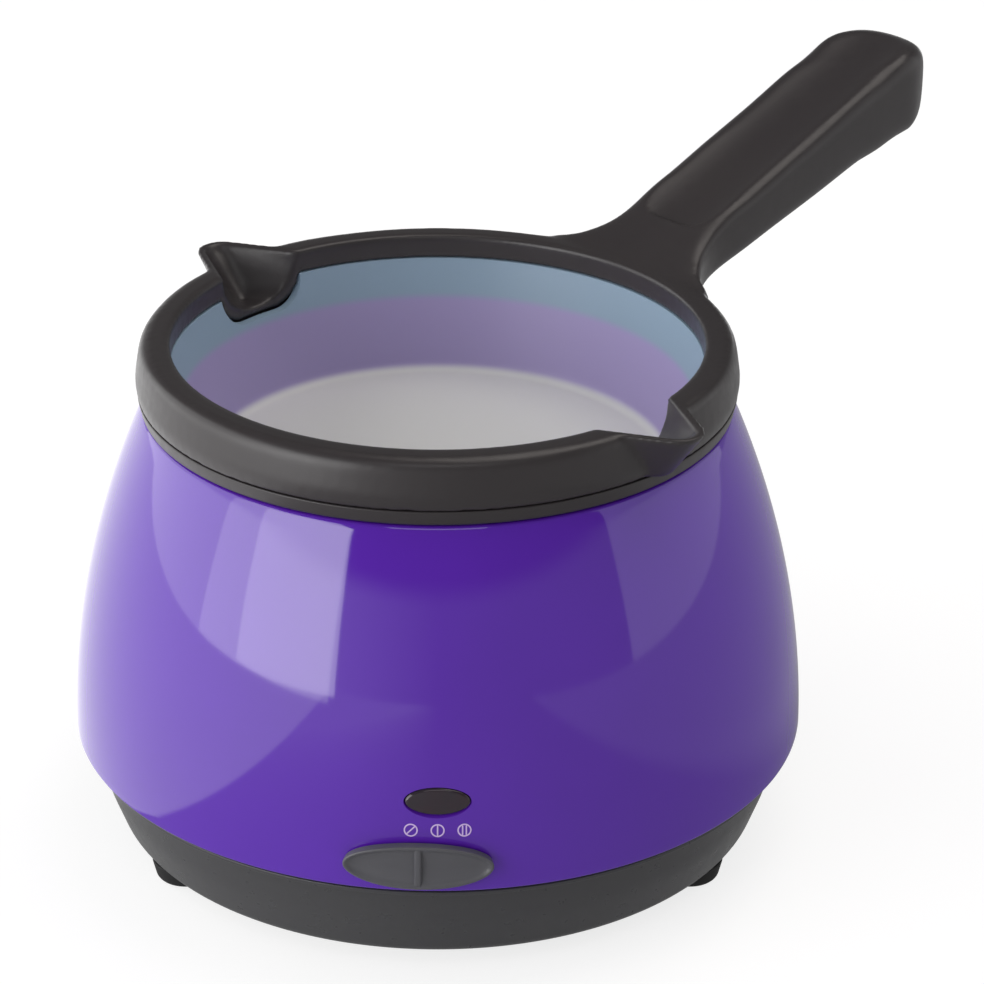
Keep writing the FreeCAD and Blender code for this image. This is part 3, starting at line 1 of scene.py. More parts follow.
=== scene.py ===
"""Candy melting pot: the looks of the part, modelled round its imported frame.

Sizes are in millimetres and become metres where a mesh is made. The origin is on the
table, on the pot's axis. +Z is up, and the switch faces -Y. An azimuth is counted in
degrees from +X towards +Y.
"""

import logging
import math
from collections.abc import Callable, Iterator, Sequence
from contextlib import contextmanager
from dataclasses import dataclass
from enum import Enum
from typing import Any

import bmesh
import bpy
from bpy.types import ID, Material, Node, NodeSocket, NodeTree, Object, World
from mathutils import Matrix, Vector

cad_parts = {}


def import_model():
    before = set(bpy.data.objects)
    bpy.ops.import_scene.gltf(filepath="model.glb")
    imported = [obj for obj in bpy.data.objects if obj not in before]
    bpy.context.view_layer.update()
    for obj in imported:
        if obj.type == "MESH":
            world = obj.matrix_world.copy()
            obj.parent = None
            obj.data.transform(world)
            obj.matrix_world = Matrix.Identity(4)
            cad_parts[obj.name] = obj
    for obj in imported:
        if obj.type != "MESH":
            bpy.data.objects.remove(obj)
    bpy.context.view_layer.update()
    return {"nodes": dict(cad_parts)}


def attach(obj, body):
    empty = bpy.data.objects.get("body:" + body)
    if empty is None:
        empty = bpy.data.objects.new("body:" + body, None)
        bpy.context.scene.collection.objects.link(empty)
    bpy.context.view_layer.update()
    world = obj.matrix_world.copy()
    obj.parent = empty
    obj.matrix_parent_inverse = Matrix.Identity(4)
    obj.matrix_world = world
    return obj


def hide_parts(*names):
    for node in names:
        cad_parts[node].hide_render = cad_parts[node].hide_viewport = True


LOG = logging.getLogger("melting_pot")
MM = 0.001
WHITE = (1, 1, 1, 1)

# Heights above the table
PAN_BOTTOM = 5.8
SCREW_SEAT = 16.0
PAN_TOP = 31.5
HOUSING_BOTTOM = 32.0
SWITCH_HEIGHT = 40.6
LENS_HEIGHT = 58.0
WELL_FLOOR = 101.0
LINER_BOTTOM = 104.4
BOWL_FLOOR = 106.6
REST_PLANE = 127.0
PARTING = 131.3
FLANGE_BOTTOM = 136.0
FLANGE_TOP = 138.0
POT_TOP = 145.0

# Radii about the pot's axis
MOUTH_RADIUS = 72.0
RETAINER_INNER = 74.0
WELL_OUTER = 75.6
RIB_OUTER = 76.4
WELL_FLANGE_RADIUS = 77.6
RING_PITCH = 78.3
HOUSING_TOP_RADIUS = 79.8
RING_OUTER = 81.8
HOUSING_BASE_RADIUS = 101.6

# Walls, the housing's bulge and the play between pieces
HOUSING_WALL = 2.6
HOUSING_BULGE = 5.2
WELL_FLANGE = 1.6
PAN_WALL = 2.4
RUNNING_GAP = 0.3

# Indicator window
LENS_WIDTH = 17.5
LENS_TALL = 8.0

# Spouts, and the notches under them
SPOUT_DEPTH = 13.0
SPOUT_FLOOR = 2.5
SPOUT_HALF_WIDTH = 13.3
SPOUT_SIDE = 1.4
APRON_END = 77.5
APRON_FILLET = 9.0

# Azimuths
SPOUT_AZIMUTHS = (135.0, -45.0)
HANDLE_AZIMUTH = 45.0
RING_SCREW_AZIMUTHS = (0.0, 45.0, 90.0, 180.0, 225.0, 270.0)
BASE_SCREW_AZIMUTHS = (45.0, 135.0, 225.0, 315.0)
FOOT_AZIMUTHS = (90.0, 210.0, 330.0)
SLIDER_STEP_ANGLE = 2.8


class Body(Enum):
    """Moving bodies of the frame that new pieces ride on."""

    BASE = "base"
    POT = "pot"
    SLIDER = "slider"


class Slot(Enum):
    """Material slots of the record."""

    PURPLE = "purple_housing"
    PAN = "grey_pan"
    FRAME = "charcoal_frame"
    SILICONE = "silicone"
    RUBBER = "foot_rubber"
    ALUMINIUM = "heater_aluminium"
    MICA = "mica"
    FELT = "felt"
    STEEL = "steel"
    LENS = "smoky_lens"
    LAMP = "lamp_glass"
    WHITE = "white_plastic"
    PHENOLIC = "phenolic"


class Element(Enum):
    """Kinds of mesh element that can be selected."""

    VERTEX = "VERT"
    EDGE = "EDGE"
    FACE = "FACE"


def linear(colour: str) -> tuple[float, float, float, float]:
    """Turn an sRGB hex colour to linear values.

    Args:
        colour: Six hex digits after a hash sign.

    Returns:
        Linear red, green, blue and an alpha of one.
    """
    channels = [int(colour[place:place + 2], 16) / 255 for place in (1, 3, 5)]
    values = [c / 12.92 if c <= 0.04045 else ((c + 0.055) / 1.055) ** 2.4 for c in channels]
    return values[0], values[1], values[2], 1.0


def blank_tree(owner: Material | World) -> NodeTree:
    """Turn on the nodes of a material or a world, and clear them.

    Args:
        owner: The material or the world.

    Returns:
        Its empty node tree.
    """
    owner.use_nodes = True
    owner.node_tree.nodes.clear()
    return owner.node_tree


def add_node(tree: NodeTree, kind: str, inputs: dict[str | int, Any], **settings: Any) -> Node:
    """Add a node, set its properties and fill its inputs.

    Args:
        tree: Node tree that gets the node.
        kind: Blender's name of the node's class, without its ShaderNode.
        inputs: A value or an output socket for each input.
        settings: Properties of the node.

    Returns:
        The new node.
    """
    node = tree.nodes.new("ShaderNode" + kind)
    for name, value in settings.items():
        setattr(node, name, value)
    for socket, value in inputs.items():
        if isinstance(value, NodeSocket):
            tree.links.new(value, node.inputs[socket])
        else:
            node.inputs[socket].default_value = value
    return node


def deselect() -> None:
    """Deselect every object."""
    bpy.ops.object.select_all(action="DESELECT")


def pick(obj: Object) -> None:
    """Make one object the only selected one, and the active one."""
    deselect()
    obj.select_set(True)
    bpy.context.view_layer.objects.active = obj


@contextmanager
def editing(obj: Object, element: Element = Element.VERTEX) -> Iterator[None]:
    """Edit one object, with nothing selected at the start.

    Args:
        obj: Mesh object to edit.
        element: Kind of element that selections work on.

    Returns:
        A context that leaves edit mode at its end.
    """
    pick(obj)
    bpy.ops.object.mode_set(mode="EDIT")
    bpy.ops.mesh.select_mode(type=element.value)
    bpy.ops.mesh.select_all(action="DESELECT")
    try:
        yield
    finally:
        bpy.ops.object.mode_set(mode="OBJECT")


def select_all() -> None:
    """Select the whole mesh that is being edited."""
    bpy.ops.mesh.select_all(action="SELECT")


def face_outwards() -> None:
    """Point every face of the mesh that is being edited outwards."""
    select_all()
    bpy.ops.mesh.normals_make_consistent(inside=False)


def select_where(obj: Object, element: Element, test: Callable[[Any], bool]) -> None:
    """Select the elements of the mesh being edited that pass a test.

    Args:
        obj: Object in edit mode.
        element: Kind of element to look at.
        test: Says whether a mesh element is wanted.
    """
    mesh = bmesh.from_edit_mesh(obj.data)
    pools = {Element.VERTEX: mesh.verts, Element.EDGE: mesh.edges, Element.FACE: mesh.faces}
    for item in pools[element]:
        if test(item):
            item.select = True
    mesh.select_flush_mode()
    bmesh.update_edit_mesh(obj.data)


def modify(obj: Object, kind: str, **settings: Any) -> None:
    """Add a modifier to an object, set it up and apply it.

    Args:
        obj: Object to change.
        kind: Blender's name of the modifier type.
        settings: Properties of the modifier.
    """
    pick(obj)
    modifier = obj.modifiers.new(kind.title(), kind)
    for name, value in settings.items():
        setattr(modifier, name, value)
    bpy.ops.object.modifier_apply(modifier=modifier.name)


def boolean(obj: Object, other: Object, operation: str = "DIFFERENCE") -> None:
    """Combine an object with another one, which is used up.

    Args:
        obj: Object that stays.
        other: Cutter or addition.
        operation: DIFFERENCE, UNION or INTERSECT.
    """
    modify(obj, "BOOLEAN", operation=operation, solver="EXACT", object=other)
    bpy.data.objects.remove(other)


def settle(obj: Object) -> None:
    """Put an object's place, turn and scale into its mesh."""
    pick(obj)
    bpy.ops.object.transform_apply(location=True, rotation=True, scale=True)


def turn(obj: Object, azimuth: float) -> None:
    """Turn an object's mesh about the pot's axis, by degrees."""
    obj.rotation_euler = (0.0, 0.0, math.radians(azimuth))
    settle(obj)


def twin(obj: Object) -> Object:
    """Copy an object, with a mesh of its own.

    Args:
        obj: Object to copy.

    Returns:
        The copy.
    """
    copy = obj.copy()
    copy.data = obj.data.copy()
    bpy.context.collection.objects.link(copy)
    return copy


def joined(parts: Sequence[Object]) -> Object:
    """Join several objects into the first of them.

    Args:
        parts: Objects to join; all but the first are used up.

    Returns:
        The first object.
    """
    pick(parts[0])
    for part in parts[1:]:
        part.select_set(True)
    if len(parts) > 1:
        bpy.ops.object.join()
    return parts[0]


def ring_of(obj: Object, radius: float, azimuths: Sequence[float]) -> Object:
    """Copy an on-axis object round the pot's axis and join the copies.

    Args:
        obj: Object modelled on the axis; it is used up.
        radius: Distance of the copies from the axis, in mm.
        azimuths: Direction of each copy, in degrees.

    Returns:
        One object that holds every copy.
    """
    obj.location = (radius * MM, 0.0, 0.0)
    settle(obj)
    copies = []
    for azimuth in azimuths:
        copy = twin(obj)
        turn(copy, azimuth)
        copies.append(copy)
    bpy.data.objects.remove(obj)
    return joined(copies)


@dataclass(frozen=True)
class Corner:
    """Corner of an outline in the (radius, height) plane, with its fillet, in mm."""

    radius: float
    height: float
    fillet: float = 0.0


def rounded(corners: Sequence[Corner], segments: int = 6) -> list[Vector]:
    """Round the corners of a closed outline.

    Args:
        corners: Corners in order.
        segments: Edges along each fillet.

    Returns:
        Points in the XZ plane, in mm.
    """
    points: list[Vector] = []
    count = len(corners)
    for index, corner in enumerate(corners):
        here = Vector((corner.radius, 0.0, corner.height))
        if corner.fillet <= 0:
            points.append(here)
            continue
        before = corners[index - 1]
        after = corners[(index + 1) % count]
        back = (Vector((before.radius, 0.0, before.height)) - here).normalized()
        ahead = (Vector((after.radius, 0.0, after.height)) - here).normalized()
        half = back.angle(ahead) / 2
        centre = here + (back + ahead).normalized() * (corner.fillet / math.sin(half))
        reach = corner.fillet / math.tan(half)
        start = here + back * reach - centre
        finish = here + ahead * reach - centre
        for step in range(segments + 1):
            way = start.slerp(finish, step / segments).normalized()
            points.append(centre + way * corner.fillet)
    return points


def primitive(name: str, add: Callable[..., Any], **settings: Any) -> Object:
    """Add a primitive and put its place into its mesh.

    Args:
        name: Name of the new object.
        add: Blender's operator for the primitive.
        settings: Settings of the operator, in metres.

    Returns:
        The new object.
    """
    deselect()
    add(**settings)
    obj = bpy.context.object
    obj.name = name
    settle(obj)
    return obj


def lathe(name: str, outline: Sequence[Vector], steps: int = 224) -> Object:
    """Spin a closed outline about the pot's axis.

    Args:
        name: Name of the new object.
        outline: Points in the XZ plane, in mm.
        steps: Number of divisions round the axis.

    Returns:
        The closed, turned object.
    """
    obj = primitive(name, bpy.ops.mesh.primitive_plane_add, size=MM)
    with editing(obj):
        select_all()
        bpy.ops.mesh.merge(type="CENTER")
        bpy.ops.transform.translate(value=outline[0] * MM)
        for start, finish in zip(outline, [*outline[1:], outline[0]]):
            move = finish - start
            if move.length >= 1e-6:
                bpy.ops.mesh.extrude_region_move(TRANSFORM_OT_translate={"value": move * MM})
        select_all()
        bpy.ops.mesh.spin(steps=steps, angle=math.tau, center=(0, 0, 0), axis=(0, 0, 1))
        select_all()
        bpy.ops.mesh.remove_doubles(threshold=1e-6)
        bpy.ops.mesh.dissolve_degenerate(threshold=1e-7)
        select_all()
        bpy.ops.mesh.delete_loose(use_verts=True, use_edges=True, use_faces=False)
        face_outwards()
    return obj


def post(name: str, radius: float, low: float, high: float, vertices: int = 48) -> Object:
    """Upright round bar on the pot's axis, with its sizes in mm.

    Args:
        name: Name of the new object.
        radius: Radius of the bar.
        low: Height of its lower end.
        high: Height of its upper end.
        vertices: Number of sides.

    Returns:
        The bar.
    """
    return primitive(name, bpy.ops.mesh.primitive_cylinder_add, vertices=vertices, radius=radius * MM,
                     depth=(high - low) * MM, location=(0, 0, (low + high) / 2 * MM))


def bar(name: str, low: Sequence[float], high: Sequence[float]) -> Object:
    """Box between two opposite corners.

    Args:
        name: Name of the new object.
        low: Lowest corner in mm.
        high: Highest corner in mm.

    Returns:
        The box.
    """
    first, last = Vector(low), Vector(high)
    obj = primitive(name, bpy.ops.mesh.primitive_cube_add, size=1.0)
    obj.location = (first + last) / 2 * MM
    obj.scale = (last - first) * MM
    settle(obj)
    return obj


def oval_plug(name: str, width: float, tall: float, height: float, near: float, far: float,
              taper: float = 0.0) -> Object:
    """Elliptical plug along Y on the front of the pot, with its sizes in mm.

    Args:
        name: Name of the new object.
        width: Full width at its inner end.
        tall: Full height at its inner end.
        height: Height of its centre above the table.
        near: Distance of its inner end from the axis.
        far: Distance of its outer end from the axis.
        taper: How much wider it is all round at its outer end.

    Returns:
        The plug.
    """
    obj = primitive(name, bpy.ops.mesh.primitive_cylinder_add, vertices=128, radius=1.0, depth=1.0)
    obj.rotation_euler = (math.radians(90), 0.0, 0.0)
    settle(obj)
    for vertex in obj.data.vertices:
        outer = vertex.co.y < 0
        grow = taper if outer else 0.0
        across = (width / 2 + grow) * vertex.co.x
        up = (tall / 2 + grow) * vertex.co.z
        vertex.co = Vector((across, -far if outer else -near, height + up)) * MM
    return obj


def wrap_round(obj: Object, radius_at: Callable[[float], float]) -> None:
    """Bend a flat mesh that faces -Y round the pot's front.

    Args:
        obj: Mesh whose y is its depth below the surface, in metres.
        radius_at: Surface radius in mm for a height in mm.
    """
    for vertex in obj.data.vertices:
        radius = radius_at(vertex.co.z / MM) * MM
        angle = vertex.co.x / radius
        reach = radius - vertex.co.y
        vertex.co.x = reach * math.sin(angle)
        vertex.co.y = -reach * math.cos(angle)
    obj.data.update()


def housing_radius(height: float) -> float:
    """Outer radius of the housing: a straight taper with a parabolic bulge.

    Args:
        height: Height above the table in mm.

    Returns:
        Radius in mm.
    """
    share = (height - HOUSING_BOTTOM) / (REST_PLANE - HOUSING_BOTTOM)
    chord = HOUSING_BASE_RADIUS + (HOUSING_TOP_RADIUS - HOUSING_BASE_RADIUS) * share
    return chord + 4 * HOUSING_BULGE * share * (1 - share)


def smooth(obj: Object, degrees: float = 35.0) -> None:
    """Shade an object smooth, apart from edges sharper than an angle."""
    pick(obj)
    bpy.ops.object.shade_smooth_by_angle(angle=math.radians(degrees))


@dataclass(frozen=True)
class Finish:
    """A surface finish that makes one material."""

    name: str

    def material(self) -> Material:
        """Make the material, or find it when it is there already.

        Returns:
            The finish's material.
        """
        found = bpy.data.materials.get(self.name)
        if found:
            return found
        made = bpy.data.materials.new(self.name)
        tree = blank_tree(made)
        shader = self.shade(tree)
        add_node(tree, "OutputMaterial", {"Surface": shader.outputs[0]})
        return made

    def shade(self, tree: NodeTree) -> Node:
        """Build the finish's nodes and give the shader node."""
        raise NotImplementedError


def noise(tree: NodeTree, size: float, detail: float = 2.0) -> NodeSocket:
    """Noise over the object's own coordinates.

    Args:
        tree: Node tree that gets it.
        size: Size of a typical feature in mm.
        detail: Octaves of finer noise.

    Returns:
        Socket with values from zero to one.
    """
    place = add_node(tree, "TexCoord", {})
    made = add_node(tree, "TexNoise", {
        "Vector": place.outputs["Object"], "Scale": 1 / (size * MM), "Detail": detail, "Roughness": 0.55})
    return made.outputs["Fac"]


def between(tree: NodeTree, share: NodeSocket, low: float, high: float) -> NodeSocket:
    """Spread a noise over a range, with soft ends.

    Args:
        tree: Node tree that gets it.
        share: Socket with the noise, most of which lies between 0.15 and 0.85.
        low: Lowest value of the range.
        high: Highest value of the range.

    Returns:
        Socket with the value.
    """
    made = add_node(tree, "MapRange", {
        "Value": share, "From Min": 0.15, "From Max": 0.85, "To Min": low, "To Max": high},
        interpolation_type="SMOOTHSTEP")
    return made.outputs["Result"]


def blend_colours(tree: NodeTree, share: NodeSocket, first: str | NodeSocket, second: str) -> NodeSocket:
    """Mix two colours by a zero to one value.

    Args:
        tree: Node tree that gets it.
        share: Socket with the share of the second colour.
        first: Hex colour, or a socket with a colour.
        second: Hex colour.

    Returns:
        Socket with the mixed colour.
    """
    start = linear(first) if isinstance(first, str) else first
    made = add_node(tree, "Mix", {0: share, 6: start, 7: linear(second)}, data_type="RGBA")
    return made.outputs[2]


def height_step(tree: NodeTree, height: float, spread: float) -> NodeSocket:
    """Zero below a height above the table and one above it.

    Args:
        tree: Node tree that gets it.
        height: Middle of the step in mm.
        spread: Half of the step's soft band in mm.

    Returns:
        Socket with the value.
    """
    place = add_node(tree, "TexCoord", {})
    parts = add_node(tree, "SeparateXYZ", {"Vector": place.outputs["Object"]})
    made = add_node(tree, "MapRange", {
        "Value": parts.outputs["Z"], "From Min": (height - spread) * MM,
        "From Max": (height + spread) * MM}, interpolation_type="SMOOTHSTEP")
    return made.outputs["Result"]


@dataclass(frozen=True)
class MouldedPlastic(Finish):
    """Injection-moulded plastic: faint flow mottle, mould grain and a clear sheen.

    The colour drifts to a second one over drift_size. Grain sizes and depths are in mm.
    """

    colour: str
    drift: str
    roughness: float
    roughness_swing: float
    grain_size: float
    grain_depth: float
    drift_size: float = 60.0
    ior: float = 1.53

    def shade(self, tree: NodeTree) -> Node:
        """Build the plastic's nodes."""
        mottle = between(tree, noise(tree, self.drift_size), 0.0, 1.0)
        bump = add_node(tree, "Bump", {
            "Height": noise(tree, self.grain_size, 3.0), "Distance": self.grain_depth * MM,
            "Strength": 1.0})
        rough = between(tree, noise(tree, self.grain_size * 6), self.roughness - self.roughness_swing,
                        self.roughness + self.roughness_swing)
        return add_node(tree, "BsdfPrincipled", {
            "Base Color": blend_colours(tree, mottle, self.colour, self.drift),
            "Roughness": rough, "IOR": self.ior, "Normal": bump.outputs[0]})


@dataclass(frozen=True)
class FrostedSilicone(Finish):
    """Moulded food-grade silicone: milky and dull.

    The light that shines through its thin wall is painted into its colour, in three bands
    by height: the pale floor, the wall, purple from the well behind it, and the collar
    above it, which stands for the ring behind it and is darkened as painted shade.
    """

    floor: str
    wall: str
    collar: str
    roughness: float
    clearness: float
    floor_edge: float = BOWL_FLOOR + 1.2
    floor_blur: float = 1.0
    collar_edge: float = REST_PLANE + 0.3
    collar_blur: float = 1.4
    skin_size: float = 0.9
    skin_depth: float = 0.012
    ior: float = 1.41

    def shade(self, tree: NodeTree) -> Node:
        """Build the silicone's nodes."""
        skin = add_node(tree, "Bump", {
            "Height": noise(tree, self.skin_size, 3.0), "Distance": self.skin_depth * MM,
            "Strength": 1.0})
        # Painted light: the colours that show through the wall are painted in as bands by height.
        above_floor = height_step(tree, self.floor_edge, self.floor_blur)
        above_well = height_step(tree, self.collar_edge, self.collar_blur)
        lower = blend_colours(tree, above_floor, self.floor, self.wall)
        colour = blend_colours(tree, above_well, lower, self.collar)
        return add_node(tree, "BsdfPrincipled", {
            "Base Color": colour, "Roughness": self.roughness, "IOR": self.ior,
            "Transmission Weight": self.clearness, "Normal": skin.outputs[0]})


@dataclass(frozen=True)
class TurnedMetal(Finish):
    """Metal turned on a lathe: fine rings round the pot's axis, and a thin stain.

    The ring spacing is in mm.
    """

    colour: str
    tarnish: str
    roughness: float
    ring_spacing: float
    ring_depth: float = 0.02
    stain_size: float = 22.0
    wear_size: float = 7.0

    def shade(self, tree: NodeTree) -> Node:
        """Build the turned metal's nodes."""
        place = add_node(tree, "TexCoord", {})
        rings = add_node(tree, "TexWave", {
            "Vector": place.outputs["Object"], "Scale": 0.05 / (self.ring_spacing * MM) * math.tau,
            "Distortion": 0.6, "Detail": 1.0, "Detail Scale": 2.0},
            wave_type="RINGS", rings_direction="Z")
        bump = add_node(tree, "Bump", {
            "Height": rings.outputs["Fac"], "Distance": self.ring_depth * MM, "Strength": 0.7})
        stain = between(tree, noise(tree, self.stain_size, 4.0), 0.0, 1.0)
        rough = between(tree, noise(tree, self.wear_size), self.roughness - 0.05, self.roughness + 0.08)
        return add_node(tree, "BsdfPrincipled", {
            "Base Color": blend_colours(tree, stain, self.colour, self.tarnish), "Metallic": 1.0,
            "Roughness": rough, "Normal": bump.outputs[0]})


@dataclass(frozen=True)
class PolishedWindow(Finish):
    """Smooth see-through part: a faint swirl in its colour and slow waves in its face."""

    colour: str
    depth: str
    swirl_size: float = 6.0
    wave_size: float = 4.0
    wave_depth: float = 0.01

    def shade(self, tree: NodeTree) -> Node:
        """Build the window's nodes."""
        swirl = between(tree, noise(tree, self.swirl_size), 0.0, 1.0)
        waves = add_node(tree, "Bump", {
            "Height": noise(tree, self.wave_size), "Distance": self.wave_depth * MM, "Strength": 0.5})
        return add_node(tree, "BsdfPrincipled", {
            "Base Color": blend_colours(tree, swirl, self.colour, self.depth), "Roughness": 0.08,
            "IOR": 1.49, "Transmission Weight": 0.2, "Normal": waves.outputs[0],
            "Coat Weight": 0.5, "Coat Roughness": 0.02})


# ABS from a polished mould: a mirror gloss, with slow waves 24 mm long in place of a grain.
# The IOR is above that of ABS, 1.53, to match how strongly the real housing mirrors.
PURPLE_ABS = MouldedPlastic("gloss_purple_abs", "#5B22B2", "#5720AB", 0.06, 0.015, 24.0, 0.01,
                            ior=1.75)
# ABS from a spark-eroded mould: an even satin. The real grain is about 0.1 mm across, and
# it is drawn 0.5 mm across so that it shows.
GREY_ABS = MouldedPlastic("satin_grey_abs", "#474749", "#424245", 0.3, 0.04, 0.5, 0.02)
# The same ABS in a paler grey, from a finer mould: a slightly closer satin.
SLIDER_ABS = MouldedPlastic("satin_slider_abs", "#58585D", "#535358", 0.36, 0.04, 0.4, 0.012)
# Heat-proof nylon from a spark-eroded mould: a soft satin that spreads the highlights.
# Its grain, too, is drawn about four times as coarse as it is.
CHARCOAL_NYLON = MouldedPlastic("satin_charcoal_nylon", "#383435", "#332F31", 0.34, 0.04, 0.45, 0.018)
# Platinum-cured silicone from a matt mould: its skin shows no clear reflection.
# Its wall and collar colours are painted light: the well and ring behind it showing through, the collar
# darkened as painted shade.
FROSTED = FrostedSilicone("frosted_silicone", "#EEEEEC", "#B0A3D2", "#9BB3C8", 0.42, 0.12)
# Pressed rubber: matt, with a coarse skin that collects dust.
BLACK_RUBBER = MouldedPlastic("matt_black_rubber", "#1C1C1D", "#232324", 0.7, 0.08, 0.6, 0.03, ior=1.52)
# Plate faced on a lathe: rings of light. The real feed lines are about 0.2 mm apart, and
# they are drawn 0.9 mm apart so that they show.
TURNED_ALUMINIUM = TurnedMetal("turned_aluminium", "#C9CACB", "#B4B3B0", 0.32, 0.9)
# Turned or stamped steel with a zinc plating: a dull grey shine with a yellowish cast.
ZINCED_STEEL = TurnedMetal("zinced_steel", "#B9B8B4", "#9B9992", 0.36, 0.4)
# Undyed polyamide from a plain mould: a warm, half-dull white.
WHITE_PA = MouldedPlastic("white_polyamide", "#DAD8CF", "#CFCDC2", 0.5, 0.06, 0.7, 0.02)
# Pressed phenolic: dark brown, half dull, with a slight cloudiness of its filler.
PHENOLIC = MouldedPlastic("pressed_phenolic", "#33241B", "#2A1D16", 0.45, 0.08, 0.5, 0.02)
# Pressed mica: flakes a few millimetres across that shine unevenly.
MICA = MouldedPlastic("pressed_mica", "#B8A67C", "#A08C5E", 0.45, 0.12, 1.6, 0.03, drift_size=5.0)
# Needled glass fibre: no shine at all. The real fibres are far below 0.1 mm, and the tufts
# are drawn 0.35 mm across.
FELT = MouldedPlastic("glass_fibre_felt", "#E2DFD3", "#CFCBBB", 0.95, 0.03, 0.35, 0.12, drift_size=3.0)
# Blown glass of a neon lamp: clear, slightly wavy, warm from the gas and wires inside.
LAMP_GLASS = PolishedWindow("neon_glass", "#E8C7B4", "#D9A48A")
# Acrylic dyed dark red, from a polished mould: nearly black until the lamp is lit.
SMOKED = PolishedWindow("smoked_red_acrylic", "#332E36", "#3C2A33")
# Pad-printed ink: thin, lilac and duller than the gloss that it lies on.
PRINT = MouldedPlastic("lilac_print", "#DCC3F0", "#D2B6EA", 0.45, 0.05, 0.3, 0.004)

# Nodes of the frame that keep their CAD shape
CARRIED = (
    (MICA, Slot.MICA, ("heating_element",)),
    (FELT, Slot.FELT, ("insulation_pad",)),
    (PHENOLIC, Slot.PHENOLIC, ("thermostat", "slide_switch")),
    (WHITE_PA, Slot.WHITE, ("lamp_holder", "switch_lever", "terminal_block")),
    (LAMP_GLASS, Slot.LAMP, ("neon_lamp",)),
    (ZINCED_STEEL, Slot.STEEL, (
        "clamp_plate", "heater_screws", "thermostat_screws", "thermal_fuse", "fuse_clip",
        "fuse_clip_screw", "switch_screws", "terminal_screws", "handle_screws")),
)


def dress(obj: Object, finish: Finish) -> None:
    """Give an object one finish."""
    obj.data.materials.clear()
    obj.data.materials.append(finish.material())


def mount(obj: Object, body: Body, finish: Finish, slot: Slot, *nodes: str) -> None:
    """Finish a new piece, put it on its body and let it stand for its nodes.

    Args:
        obj: The new piece, in place.
        body: Body that it rides on.
        finish: Its surface.
        slot: Material slot of the record; not used.
        nodes: Nodes of the frame that it replaces.
    """
    dress(obj, finish)
    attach(obj, body.value)
    if nodes:
        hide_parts(*nodes)
    obj.data.calc_loop_triangles()
    LOG.info("%s: %d triangles on %s", obj.name, len(obj.data.loop_triangles), body.value)


@dataclass
class Housing:
    """Glossy tapered shell of the base, with the openings for window and switch."""

    edge: float = 1.0
    shoulder: float = 1.6
    rim: float = 126.6
    wall_steps: int = 44
    hole_play: float = 0.3
    lip_depth: float = 0.6
    lip_width: float = 0.8
    slot_half_angle: float = 4.0
    slot_half_tall: float = 2.3

    def build(self) -> None:
        """Turn the shell and cut its openings."""
        shell = lathe("housing_gloss", self.outline(), 288)
        face = housing_radius(LENS_HEIGHT)
        width = LENS_WIDTH - self.hole_play
        tall = LENS_TALL - self.hole_play
        boolean(shell, oval_plug("hole", width, tall, LENS_HEIGHT, face - 8, face + 4))
        boolean(shell, oval_plug("lip", width, tall, LENS_HEIGHT, face - self.lip_depth,
                                 face + self.lip_depth, self.lip_width))
        reach = HOUSING_BASE_RADIUS * math.sin(math.radians(self.slot_half_angle))
        boolean(shell, bar("slot", (-reach, -HOUSING_BASE_RADIUS - 4, SWITCH_HEIGHT - self.slot_half_tall),
                           (reach, -HOUSING_BASE_RADIUS + 8, SWITCH_HEIGHT + self.slot_half_tall)))
        smooth(shell, 30)
        mount(shell, Body.BASE, PURPLE_ABS, Slot.PURPLE, "housing_shell")

    def outline(self) -> list[Vector]:
        """Outline of the shell's wall, with rolled edges and the seat of the well.

        Returns:
            Points in the XZ plane, in mm.
        """
        low = HOUSING_BOTTOM
        ledge = REST_PLANE - WELL_FLANGE
        under = ledge - HOUSING_WALL
        opening = WELL_OUTER + RUNNING_GAP
        seat = WELL_FLANGE_RADIUS + 0.2
        points = rounded([
            Corner(housing_radius(low) - HOUSING_WALL, low),
            Corner(housing_radius(low), low, self.edge),
            Corner(housing_radius(low + 3 * self.edge), low + 3 * self.edge),
        ])
        span = self.rim - self.shoulder - low - 4 * self.edge
        for step in range(self.wall_steps + 1):
            height = low + 3.2 * self.edge + span * step / self.wall_steps
            points.append(Vector((housing_radius(height), 0, height)))
        points += rounded([
            Corner(housing_radius(self.rim - 2 * self.shoulder), self.rim - 2 * self.shoulder),
            Corner(housing_radius(REST_PLANE) + 0.05, self.rim, self.shoulder),
            Corner(seat, self.rim, 0.25),
            Corner(seat, ledge),
            Corner(opening, ledge),
            Corner(opening, under),
        ])[1:]
        for step in range(self.wall_steps + 1):
            height = under - (under - low) * step / self.wall_steps
            points.append(Vector((housing_radius(height) - HOUSING_WALL, 0, height)))
        return points[:-1]


